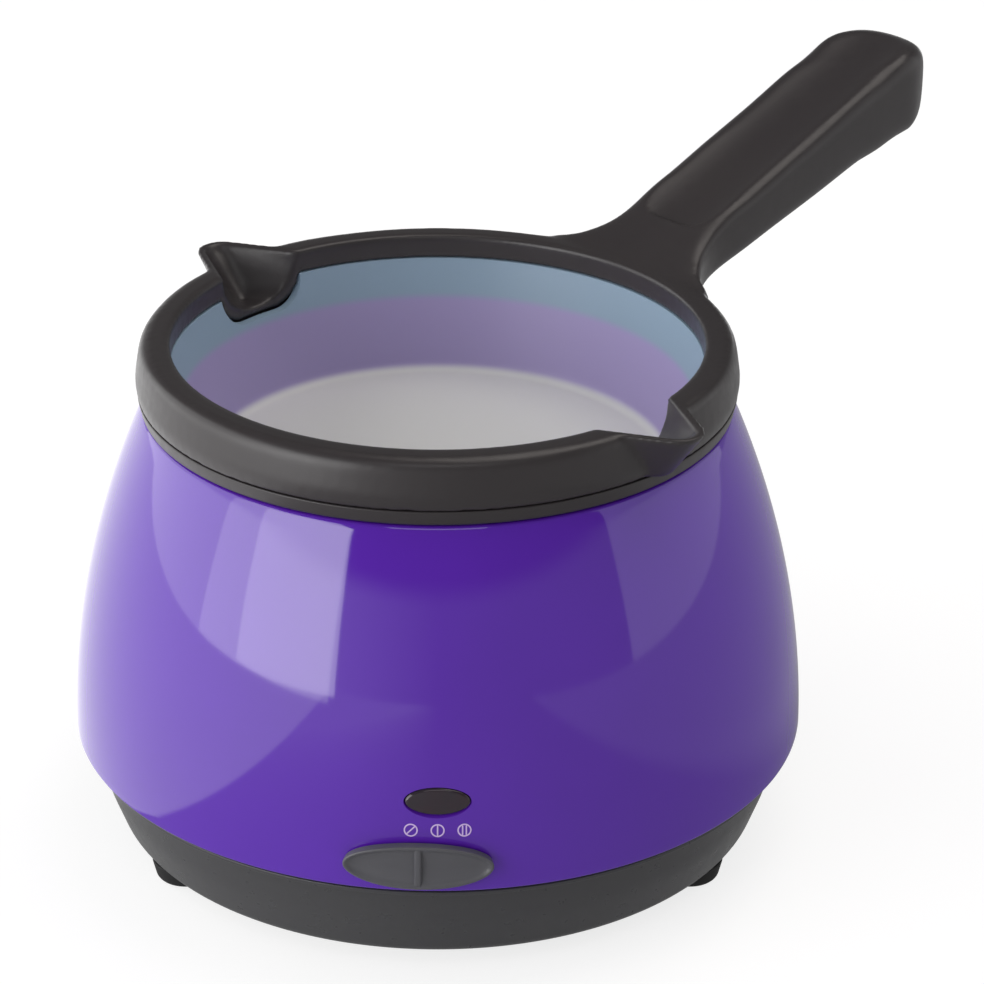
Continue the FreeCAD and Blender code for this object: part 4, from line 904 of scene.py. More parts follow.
@dataclass
class HeatedWell:
    """Cup that the pot hangs in, with the heated plate in its floor."""

    well_radius: float = 67.5
    well_wall: float = 1.6
    well_opening: float = 56.2
    well_sheet: float = 2.0
    heater_core: float = 49.0
    heater_step: float = 56.0
    heater_raised: float = 59.0
    heater_radius: float = 63.0
    heater_flange: float = 1.8

    def build(self) -> None:
        """Model the cup and the plate."""
        self.well()
        self.heater()

    def well(self) -> None:
        """Cup that the pot hangs in."""
        bottom = WELL_FLOOR - self.well_sheet
        cup = lathe("heating_cup", rounded([
            Corner(self.well_opening, bottom),
            Corner(self.well_radius + self.well_wall, bottom, 3.0),
            Corner(WELL_OUTER, REST_PLANE - WELL_FLANGE),
            Corner(WELL_FLANGE_RADIUS, REST_PLANE - WELL_FLANGE),
            Corner(WELL_FLANGE_RADIUS, REST_PLANE, 0.5),
            Corner(RETAINER_INNER, REST_PLANE, 0.6),
            Corner(self.well_radius, WELL_FLOOR, 3.0),
            Corner(self.well_opening, WELL_FLOOR),
        ]))
        smooth(cup)
        mount(cup, Body.BASE, PURPLE_ABS, Slot.PURPLE, "heating_well")

    def heater(self) -> None:
        """Turned plate that the bowl stands on."""
        bottom = WELL_FLOOR - self.well_sheet
        flange = WELL_FLOOR + self.heater_flange
        plate = lathe("heater_disc", rounded([
            Corner(0, WELL_FLOOR + 0.4),
            Corner(self.heater_core, WELL_FLOOR + 0.4),
            Corner(self.heater_core, bottom),
            Corner(self.heater_step, bottom),
            Corner(self.heater_step, WELL_FLOOR),
            Corner(self.heater_radius, WELL_FLOOR),
            Corner(self.heater_radius, flange, 0.5),
            Corner(self.heater_raised, flange, 0.3),
            Corner(self.heater_raised, LINER_BOTTOM, 0.7),
            Corner(0, LINER_BOTTOM),
        ]), 192)
        smooth(plate)
        mount(plate, Body.BASE, TURNED_ALUMINIUM, Slot.ALUMINIUM, "heater_plate")


@dataclass
class Pan:
    """Satin pan under the housing, with its feet, screws and the cord's bush."""

    rim_radius: float = 99.6
    side_radius: float = 96.5
    floor_radius: float = 89.6
    swell: float = 1.3
    rim_low: float = 1.9
    rim_high: float = 0.7
    tongue_tall: float = 4.0
    screw_pitch: float = 83.0
    post_radius: float = 4.4
    post_roof: float = 2.5
    counterbore_radius: float = 3.5
    screw_hole_radius: float = 1.7
    vent_count: int = 7
    vent_pitch: float = 8.0
    vent_half_width: float = 1.5
    vent_half_length: float = 17.0
    foot_radius: float = 9.5
    foot_pitch: float = 80.0
    foot_stud: float = 3.0
    gland_height: float = 19.0
    gland_radius: float = 5.3
    gland_bore: float = 3.1

    def build(self) -> None:
        """Model the pan and what is fixed to it."""
        self.pan()
        self.feet()
        self.screws()
        self.gland()

    def pan(self) -> None:
        """Satin pan with its rim, screw wells, vents and cord hole."""
        top = PAN_TOP
        floor = PAN_BOTTOM + PAN_WALL
        middle = (PAN_BOTTOM + top) / 2
        shoulder = (self.floor_radius + self.side_radius) / 2 + self.swell
        tongue = HOUSING_BASE_RADIUS - HOUSING_WALL - RUNNING_GAP
        pan = lathe("pan_moulding", rounded([
            Corner(0, PAN_BOTTOM),
            Corner(self.floor_radius, PAN_BOTTOM, 4.5),
            Corner(shoulder, middle, 40.0),
            Corner(self.side_radius + 0.1, top - self.rim_low, 0.3),
            Corner(self.rim_radius, top - self.rim_low, 0.35),
            Corner(self.rim_radius, top - self.rim_high, 0.35),
            Corner(tongue, top - self.rim_high, 0.1),
            Corner(tongue, top + self.tongue_tall),
            Corner(tongue - 1.8, top + self.tongue_tall),
            Corner(tongue - 3.5, top - PAN_WALL),
            Corner(shoulder - PAN_WALL, middle, 38.0),
            Corner(self.floor_radius - PAN_WALL, floor, 3.0),
            Corner(0, floor),
        ], 10), 256)
        wells = (
            (post("post", self.post_radius, PAN_BOTTOM + 1, SCREW_SEAT + self.post_roof), "UNION"),
            (post("counterbore", self.counterbore_radius, 0, SCREW_SEAT), "DIFFERENCE"),
            (post("screw_hole", self.screw_hole_radius, 0, 40), "DIFFERENCE"),
        )
        for piece, operation in wells:
            boolean(pan, ring_of(piece, self.screw_pitch, BASE_SCREW_AZIMUTHS), operation)
        boolean(pan, self.vents(floor))
        wall = self.side_radius
        cord_hole = post("cord_hole", self.gland_radius + 0.1, wall - 20.5, wall + 7.5, 64)
        self.lay_back(cord_hole)
        boolean(pan, cord_hole)
        smooth(pan)
        mount(pan, Body.BASE, GREY_ABS, Slot.PAN, "base_pan")

    def vents(self, floor: float) -> Object:
        """Cutter for the round-ended vents in the pan's floor.

        Args:
            floor: Height of the floor's upper face in mm.

        Returns:
            One object that holds a slot for every vent.
        """
        cutters = []
        for index in range(self.vent_count):
            x = (index - (self.vent_count - 1) / 2) * self.vent_pitch
            cutter = bar(f"vent_{index}", (x - self.vent_half_width, -self.vent_half_length, 0),
                         (x + self.vent_half_width, self.vent_half_length, floor + 1))
            with editing(cutter, Element.EDGE):
                select_where(cutter, Element.EDGE,
                             lambda edge: abs(edge.verts[0].co.z - edge.verts[1].co.z) > MM)
                bpy.ops.mesh.bevel(offset=(self.vent_half_width - 0.01) * MM, segments=6, affect="EDGES")
            cutters.append(cutter)
        return joined(cutters)

    def lay_back(self, obj: Object) -> None:
        """Turn an upright piece to point along +Y, at the cord's height."""
        obj.rotation_euler = (math.radians(-90), 0, 0)
        obj.location = (0, 0, self.gland_height * MM)
        settle(obj)

    def feet(self) -> None:
        """Three rubber feet with a soft lower edge and a barbed stud."""
        foot = lathe("rubber_feet_soft", rounded([
            Corner(0, 0.6),
            Corner(4.0, 0.6, 0.2),
            Corner(4.8, 0, 0.3),
            Corner(self.foot_radius - 1.4, 0, 2.2),
            Corner(self.foot_radius, PAN_BOTTOM, 0.4),
            Corner(self.foot_stud, PAN_BOTTOM),
            Corner(self.foot_stud, PAN_BOTTOM + 2.6),
            Corner(self.foot_stud + 0.9, PAN_BOTTOM + 2.7, 0.2),
            Corner(self.foot_stud - 0.8, PAN_BOTTOM + 5.6, 0.4),
            Corner(0, PAN_BOTTOM + 5.6),
        ]), 72)
        feet = ring_of(foot, self.foot_pitch, FOOT_AZIMUTHS)
        smooth(feet, 50)
        mount(feet, Body.BASE, BLACK_RUBBER, Slot.RUBBER, "rubber_feet")

    def screws(self) -> None:
        """Cross-head screws in the pan's wells."""
        screw = cross_head_screw("base_screw_group", 1.5, 3.0, 2.0, 14.0, SCREW_SEAT)
        screws = ring_of(screw, self.screw_pitch, BASE_SCREW_AZIMUTHS)
        mount(screws, Body.BASE, ZINCED_STEEL, Slot.STEEL, "base_screws")

    def gland(self) -> None:
        """Rubber bush of the mains cord, ribbed outside the pan's wall."""
        wall = self.side_radius
        bore = self.gland_bore
        neck = self.gland_radius
        bush = lathe("cord_bush", rounded([
            Corner(bore, wall - 12, 0.3),
            Corner(neck, wall - 12, 0.5),
            Corner(neck, wall - 7.6),
            Corner(neck + 1.6, wall - 7.6, 0.4),
            Corner(neck + 1.6, wall - 4.4, 0.4),
            Corner(neck, wall - 4.4),
            Corner(neck, wall - 1.2),
            Corner(neck + 2.4, wall - 1.2, 0.2),
            Corner(neck + 2.4, wall + 1.2, 0.9),
            Corner(neck + 0.4, wall + 2.5, 0.6),
            Corner(bore, wall + 2.5, 0.5),
        ]), 96)
        self.lay_back(bush)
        smooth(bush)
        mount(bush, Body.BASE, BLACK_RUBBER, Slot.RUBBER, "cord_gland")


@dataclass
class FrontSigns:
    """Window of the indicator lamp, and the printed signs of the switch."""

    lens_edge: float = 0.8
    lens_edge_steps: int = 6
    lens_depth: float = 3.0
    lens_sunk: float = 0.35
    lens_play: float = 0.7
    symbol_height: float = 50.0
    symbol_pitch: float = 6.9
    symbol_radius: float = 1.82
    symbol_line: float = 0.36
    symbol_lean: float = 45.0
    symbol_bars: float = 0.48
    ink: float = 0.05
    ink_lift: float = 0.015

    def build(self) -> None:
        """Model the window and the signs."""
        self.lens()
        self.symbols()

    def lens(self) -> None:
        """Polished oval window with a rounded edge, curved with the housing."""
        plug = oval_plug("window_lens", LENS_WIDTH - self.lens_play, LENS_TALL - self.lens_play,
                         0, -self.lens_depth, 0.0)
        with editing(plug, Element.FACE):
            select_where(plug, Element.FACE, lambda face: face.normal.y < -0.9)
            for step in range(self.lens_edge_steps):
                start, finish = (math.radians(90 * (step + more) / self.lens_edge_steps) for more in (0, 1))
                inward = math.cos(start) - math.cos(finish)
                outward = math.sin(finish) - math.sin(start)
                bpy.ops.mesh.inset(thickness=self.lens_edge * inward * MM)
                bpy.ops.transform.translate(value=(0, -self.lens_edge * outward * MM, 0))
        plug.location = (0, 0, LENS_HEIGHT * MM)
        settle(plug)
        wrap_round(plug, lambda height: housing_radius(height) - self.lens_sunk)
        smooth(plug, 40)
        mount(plug, Body.BASE, SMOKED, Slot.LENS, "indicator_lens")

    def symbols(self) -> None:
        """Generic signs of the three switch positions, printed on the housing."""
        strokes = {
            "off": (self.symbol_lean, (0.0,)),
            "one": (0.0, (0.0,)),
            "two": (0.0, (-self.symbol_bars, self.symbol_bars)),
        }
        for index, (name, (lean, offsets)) in enumerate(strokes.items()):
            sign = joined([self.print_ring(name), *(self.print_stroke(offset, lean) for offset in offsets)])
            modify(sign, "SOLIDIFY", thickness=self.ink * MM, offset=0.0)
            sign.location = ((index - 1) * self.symbol_pitch * MM, 0, self.symbol_height * MM)
            settle(sign)
            wrap_round(sign, lambda height: housing_radius(height) + self.ink_lift)
            mount(sign, Body.BASE, PRINT, Slot.PURPLE)

    def print_ring(self, name: str) -> Object:
        """Flat ring of a sign, facing -Y.

        Args:
            name: Name of the switch position.

        Returns:
            The ring.
        """
        ring = primitive(f"sign_{name}", bpy.ops.mesh.primitive_circle_add, vertices=48,
                         radius=self.symbol_radius * MM, rotation=(math.radians(90), 0, 0))
        shrink = 1 - self.symbol_line / self.symbol_radius
        with editing(ring, Element.EDGE):
            select_all()
            bpy.ops.mesh.extrude_region_move()
            bpy.ops.transform.resize(value=(shrink, shrink, shrink), center_override=(0, 0, 0))
        return ring

    def print_stroke(self, offset: float, lean: float) -> Object:
        """Flat bar inside a sign's ring, facing -Y.

        Args:
            offset: Distance from the sign's middle in mm.
            lean: Turn to the right, in degrees.

        Returns:
            The bar.
        """
        inner = self.symbol_radius - self.symbol_line
        half = math.sqrt(inner ** 2 - (abs(offset) + self.symbol_line / 2) ** 2)
        stroke = primitive("stroke", bpy.ops.mesh.primitive_plane_add, size=1.0,
                           rotation=(math.radians(90), 0, 0))
        stroke.scale = (self.symbol_line * MM, 1, 2 * half * MM)
        stroke.location = (offset * MM, 0, 0)
        settle(stroke)
        stroke.rotation_euler = (0, math.radians(lean), 0)
        settle(stroke)
        return stroke


def cross_head_screw(name: str, radius: float, head: float, height: float, length: float,
                     seat: float) -> Object:
    """Cross-head screw on the pot's axis, driven upwards, with its sizes in mm.

    Args:
        name: Name of the new object.
        radius: Shank radius.
        head: Head radius.
        height: Head height.
        length: Shank length.
        seat: Height that the head is driven against.

    Returns:
        The screw.
    """
    screw = lathe(name, rounded([
        Corner(0, seat - height),
        Corner(head, seat - height, height * 0.6),
        Corner(head, seat, 0.1),
        Corner(radius, seat),
        Corner(radius, seat + length - radius),
        Corner(0, seat + length),
    ], 5), 32)
    drive_long = head * 0.55
    drive_half = head * 0.11
    drive_top = seat - height * 0.5
    for azimuth in (0.0, 90.0):
        blade = bar("drive", (-drive_long, -drive_half, seat - height - 1),
                    (drive_long, drive_half, drive_top))
        turn(blade, azimuth)
        boolean(screw, blade)
    smooth(screw)
    return screw


def ramp(value: float, start: float, full: float) -> float:
    """Share of the way from a start to a full value, held between zero and one."""
    return max(0.0, min(1.0, (value - start) / (full - start)))


def eased(table: Sequence[tuple[float, float]], place: float) -> float:
    """Read a table of stations, in straight lines between them.

    Args:
        table: Places in rising order, each with its value.
        place: Place to read at.

    Returns:
        The value there; the first or the last one outside the table.
    """
    if place <= table[0][0]:
        return table[0][1]
    for (low, first), (high, last) in zip(table, table[1:]):
        if place < high:
            return first + (last - first) * (place - low) / (high - low)
    return table[-1][1]


def cut_aprons(piece: Object, start: float) -> None:
    """Notch a ring or the bowl under each spout with a U-shaped cutter.

    Args:
        piece: Object that is notched.
        start: Distance of the cutter's inner end from the axis, in mm.
    """
    low = POT_TOP - SPOUT_DEPTH - SPOUT_FLOOR - RUNNING_GAP
    half = SPOUT_HALF_WIDTH + SPOUT_SIDE + RUNNING_GAP
    for azimuth in SPOUT_AZIMUTHS:
        cutter = bar("apron", (start, -half, low), (APRON_END, half, FLANGE_TOP + RUNNING_GAP))
        with editing(cutter, Element.EDGE):
            select_where(cutter, Element.EDGE,
                         lambda edge: all(v.co.z < (low + 0.1) * MM for v in edge.verts)
                         and abs(edge.verts[0].co.x - edge.verts[1].co.x) > MM)
            bpy.ops.mesh.bevel(offset=APRON_FILLET * MM, segments=12, affect="EDGES")
        turn(cutter, azimuth)
        boolean(piece, cutter)


@dataclass
class Pot:
    """Lift-out pot: frame moulding, clamp ring, silicone bowl, cover and screws.

    The grip's places are measured outwards from the pot's axis, along the handle.
    """

    voxel: float = 0.73
    soften: int = 6
    grip_start: float = 125.0
    grip_full: float = 165.0
    grip_soften: int = 45
    grip_half_width: float = 16.6
    grip_half_tall: float = 8.0
    grip_middle: float = 173.0
    grip_rise: float = 0.3
    bulge: float = 1.8
    bulge_start: float = 170.0
    bulge_span: float = 27.0
    crown: float = 0.5
    crown_start: float = 176.0
    crown_full: float = 186.0
    top_trim: tuple[tuple[float, float], ...] = (
        (140, 0), (170, 0.2), (180, -0.4), (190, -0.6), (194, -1.4), (198, -2.6))
    under_trim: tuple[tuple[float, float], ...] = (
        (160, 0), (172, -0.5), (184, -1.2), (190, -0.9), (196, 0))
    edge_soften: float = 0.6
    edge_tall: float = 6.0
    edge_band: float = 4.0
    edge_start: float = 17.0
    edge_full: float = 27.0
    floor_radius: float = 64.0
    liner_wall: float = 1.8
    sink_radius: float = 1.95
    sink_depth: float = 2.0
    cover_edge: float = 0.35

    def build(self, nodes: dict[str, Object]) -> None:
        """Model every piece of the pot.

        Args:
            nodes: The frame's nodes by name.
        """
        self.moulding(nodes["pot_frame"])
        self.clamp_ring()
        self.bowl()
        self.cover(nodes["handle_cover"])
        self.screws()

    def moulding(self, node: Object) -> None:
        """Ring, spouts and handle with the soft fillets of a moulded part.

        Args:
            node: The frame's node that it starts from.
        """
        piece = own_copy(node, "frame_moulding")
        modify(piece, "REMESH", mode="VOXEL", voxel_size=self.voxel * MM)
        modify(piece, "SMOOTH", factor=0.5, iterations=self.soften)
        self.round_grip(piece)
        pick(piece)
        bpy.ops.object.shade_smooth()
        mount(piece, Body.POT, CHARCOAL_NYLON, Slot.FRAME, "pot_frame")

    def round_grip(self, piece: Object) -> None:
        """Round the handle's end, and draw it back out to its length.

        Args:
            piece: The moulding; its ring's outer top edge is softened too.
        """
        outward = Vector((1, 1, 0)).normalized()
        vertices = piece.data.vertices
        reach = max(vertex.co.dot(outward) for vertex in vertices)
        group = piece.vertex_groups.new(name="grip_end")
        shares = {}
        for vertex in vertices:
            share = ramp(vertex.co.dot(outward) / MM, self.grip_start, self.grip_full)
            if share > 0:
                shares[vertex.index] = share
            group.add([vertex.index], share or self.edge_share(vertex.co), "REPLACE")
        modify(piece, "SMOOTH", factor=0.5, iterations=self.grip_soften, vertex_group=group.name)
        lost = reach - max(vertex.co.dot(outward) for vertex in vertices)
        for index, share in shares.items():
            place = vertices[index].co
            place += (outward + Vector((0, 0, self.grip_rise))) * lost * share
            place += self.trim(place, outward)

    def edge_share(self, place: Vector) -> float:
        """How much the ring's outer top edge is softened, away from spouts and handle.

        Args:
            place: Place of a vertex in metres.

        Returns:
            Weight of the vertex, zero away from the edge.
        """
        high = place.z > (POT_TOP - self.edge_tall) * MM
        if not high or abs(place.xy.length / MM - RING_OUTER) >= self.edge_band:
            return 0.0
        azimuth = math.degrees(math.atan2(place.y, place.x))
        away = min(abs(math.remainder(azimuth - other, 360)) for other in (*SPOUT_AZIMUTHS, HANDLE_AZIMUTH))
        return self.edge_soften * ramp(away, self.edge_start, self.edge_full)

    def trim(self, place: Vector, outward: Vector) -> Vector:
        """Move that gives the grip its crowned top, its belly and its bulging end.

        Args:
            place: Place of a vertex of the grip in metres.
            outward: Direction of the handle.

        Returns:
            How far the vertex moves, in metres.
        """
        along = place.dot(outward) / MM
        across = (place.y - place.x) / math.sqrt(2) / (self.grip_half_width * MM)
        height = max(-1.0, min(1.0, (place.z / MM - self.grip_middle) / self.grip_half_tall))
        if height > 0:
            crown = self.crown * (1 - 2 * across ** 2) * ramp(along, self.crown_start, self.crown_full)
            lift = height * (eased(self.top_trim, along) + crown)
        else:
            lift = -height * eased(self.under_trim, along) * (0.4 + 1.4 * across ** 2)
        end = max(0.0, (along - self.bulge_start) / self.bulge_span) ** 2
        bulge = self.bulge * (1 - 2.5 * across ** 2) * end
        return Vector((0, 0, lift * MM)) + outward * bulge * MM

    def clamp_ring(self) -> None:
        """Lower ring that clamps the bowl's flange, below the parting line."""
        seam = PARTING - 0.1
        ring = lathe("clamp_ring", rounded([
            Corner(RETAINER_INNER, REST_PLANE, 0.4),
            Corner(RING_OUTER - 1.4, REST_PLANE, 1.0),
            Corner(RING_OUTER - 0.5, seam, 0.35),
            Corner(RIB_OUTER, seam),
            Corner(RIB_OUTER, FLANGE_BOTTOM),
            Corner(RETAINER_INNER, FLANGE_BOTTOM),
        ]), 256)
        cut_aprons(ring, self.floor_radius)
        sink = post("sink", self.sink_radius, 0, REST_PLANE + self.sink_depth)
        boolean(ring, ring_of(sink, RING_PITCH, RING_SCREW_AZIMUTHS))
        smooth(ring)
        mount(ring, Body.POT, CHARCOAL_NYLON, Slot.FRAME, "retaining_ring")

    def bowl(self) -> None:
        """Milky silicone bowl with its clamped flange."""
        bowl = lathe("silicone_bowl", rounded([
            Corner(0, LINER_BOTTOM),
            Corner(self.floor_radius + self.liner_wall, LINER_BOTTOM, 5.0),
            Corner(MOUTH_RADIUS + self.liner_wall, FLANGE_BOTTOM),
            Corner(RIB_OUTER, FLANGE_BOTTOM),
            Corner(RIB_OUTER, FLANGE_TOP),
            Corner(MOUTH_RADIUS, FLANGE_TOP, 0.3),
            Corner(self.floor_radius, BOWL_FLOOR, 4.0),
            Corner(0, BOWL_FLOOR),
        ], 10), 224)
        cut_aprons(bowl, self.floor_radius - 4)
        smooth(bowl, 50)
        mount(bowl, Body.POT, FROSTED, Slot.SILICONE, "silicone_liner")

    def cover(self, node: Object) -> None:
        """Cover under the handle, with a broken edge.

        Args:
            node: The frame's node that it starts from.
        """
        cover = own_copy(node, "grip_cover")
        with editing(cover, Element.FACE):
            select_all()
            bpy.ops.mesh.dissolve_limited(angle_limit=math.radians(3))
        modify(cover, "BEVEL", width=self.cover_edge * MM, segments=3, limit_method="ANGLE",
               angle_limit=math.radians(50))
        smooth(cover)
        mount(cover, Body.POT, CHARCOAL_NYLON, Slot.FRAME, "handle_cover")

    def screws(self) -> None:
        """Screws sunk in the underside of the clamp ring."""
        screw = cross_head_screw("ring_screw_group", 1.0, 1.75, 1.3, 9.0, REST_PLANE + self.sink_depth)
        screws = ring_of(screw, RING_PITCH, RING_SCREW_AZIMUTHS)
        mount(screws, Body.POT, ZINCED_STEEL, Slot.STEEL, "retaining_ring_screws")


def own_copy(node: Object, name: str) -> Object:
    """Copy a node of the frame as a merged piece of its own.

    Args:
        node: Node to copy.
        name: Name of the copy.

    Returns:
        The copy, free of the frame's marks.
    """
    copy = twin(node)
    copy.name = name
    copy.parent = None
    for key in list(copy.keys()):
        del copy[key]
    with editing(copy):
        select_all()
        bpy.ops.mesh.remove_doubles(threshold=1e-6)
    return copy


@dataclass
class SwitchSlider:
    """Dished oval thumb slider with a raised rim, a centre rib and a stem behind."""

    width: float = 38.6
    tall: float = 12.7
    inner: float = 101.9
    proud: float = 2.5
    edge: float = 0.5
    edge_steps: int = 6
    rim: float = 1.0
    dish: float = 1.25
    dish_steps: int = 12
    dish_end: float = 0.4
    rib_half_width: float = 1.0
    rib_edge: float = 0.7
    stem_half_width: float = 1.5
    stem_half_tall: float = 2.0
    stem_length: float = 8.9
    root: float = 0.4

    def build(self) -> None:
        """Model the slider flat, then bend it round the housing."""
        plate = self.plate()
        boolean(plate, self.rib(), "UNION")
        stem = bar("stem", (-self.stem_half_width, -self.root, -self.stem_half_tall),
                   (self.stem_half_width, self.stem_length, self.stem_half_tall))
        boolean(plate, stem, "UNION")
        plate.location = (0, 0, SWITCH_HEIGHT * MM)
        settle(plate)
        wrap_round(plate, lambda _height: self.inner)
        turn(plate, -SLIDER_STEP_ANGLE)
        smooth(plate, 40)
        mount(plate, Body.SLIDER, SLIDER_ABS, Slot.PAN, "switch_slider")

    def stations(self) -> list[tuple[float, float]]:
        """Stations of the plate's face: how far in from its edge and how proud, in mm."""
        corner = self.proud - self.edge
        stations = [(0.0, 0.0), (0.0, corner)]
        for step in range(1, self.edge_steps + 1):
            turned = math.radians(90 * step / self.edge_steps)
            stations.append((self.edge - self.edge * math.cos(turned),
                             corner + self.edge * math.sin(turned)))
        stations.append((self.rim - 0.3, self.proud - 0.05))
        inside = self.tall / 2 - self.rim - self.dish_end
        for step in range(1, self.dish_steps + 1):
            share = step / self.dish_steps
            sunk = self.dish * math.sin(share * math.pi / 2) ** 0.8
            stations.append((self.rim + inside * share ** 1.5, self.proud - 0.1 - sunk))
        return stations

    def plate(self) -> Object:
        """Oval plate with its rim and dish, facing -Y, its back at y = 0."""
        plate = primitive("thumb_slider", bpy.ops.mesh.primitive_circle_add, vertices=160, radius=1.0,
                          fill_type="NGON", rotation=(math.radians(90), 0, 0))
        half_width = self.width / 2
        half_tall = self.tall / 2
        stations = self.stations()
        with editing(plate, Element.FACE):
            select_all()
            bpy.ops.transform.resize(value=(half_width * MM, 1, half_tall * MM), center_override=(0, 0, 0))
            for (inset, level), (next_inset, next_level) in zip(stations, stations[1:]):
                bpy.ops.mesh.extrude_region_move()
                across = (half_width - next_inset) / (half_width - inset)
                up = (half_tall - next_inset) / (half_tall - inset)
                bpy.ops.transform.resize(value=(across, 1, up), center_override=(0, 0, 0))
                bpy.ops.transform.translate(value=(0, (level - next_level) * MM, 0))
            face_outwards()
        with editing(plate, Element.EDGE):
            bpy.ops.mesh.select_non_manifold()
            bpy.ops.mesh.edge_face_add()
            face_outwards()
        return plate

    def rib(self) -> Object:
        """Rounded rib down the middle of the dish."""
        half = self.tall / 2 - 0.6
        rib = bar("rib", (-self.rib_half_width, -self.proud + 0.05, -half),
                  (self.rib_half_width, -self.root, half))
        with editing(rib, Element.EDGE):
            select_where(rib, Element.EDGE,
                         lambda edge: all(v.co.y < -self.proud * 0.9 * MM for v in edge.verts))
            bpy.ops.mesh.bevel(offset=self.rib_edge * MM, segments=5, affect="EDGES")
        return rib


def hang(name: str, data: ID, place: Vector, way: Vector) -> Object:
    """Put a lamp or a camera in the scene.

    Args:
        name: Name of the object.
        data: The lamp or camera itself.
        place: Its place in metres.
        way: Direction that it points in.

    Returns:
        The new object.
    """
    obj = bpy.data.objects.new(name, data)
    bpy.context.collection.objects.link(obj)
    obj.location = place
    obj.rotation_euler = way.to_track_quat("-Z", "Y").to_euler()
    return obj


@dataclass(frozen=True)
class Softbox:
    """Rectangular studio light, with its places and sizes in metres and its power in watts."""

    name: str
    place: tuple[float, float, float]
    aim: tuple[float, float, float]
    size: float
    tall: float
    power: float
    colour: str = "#FFFFFF"

    def build(self) -> None:
        """Hang the light."""
        data = bpy.data.lights.new(self.name, "AREA")
        data.shape = "RECTANGLE"
        data.size = self.size
        data.size_y = self.tall
        data.energy = self.power
        data.color = linear(self.colour)[:3]
        hang(self.name, data, Vector(self.place), Vector(self.aim) - Vector(self.place))


@dataclass(frozen=True)
class SweepZone:
    """Lit part of the floor as gloss mirrors it, in mm.

    It begins past a line across its direction and ends at the side light's x.
    """

    direction: tuple[float, float]
    start: float
    fade: float
    strength: float
    end: float


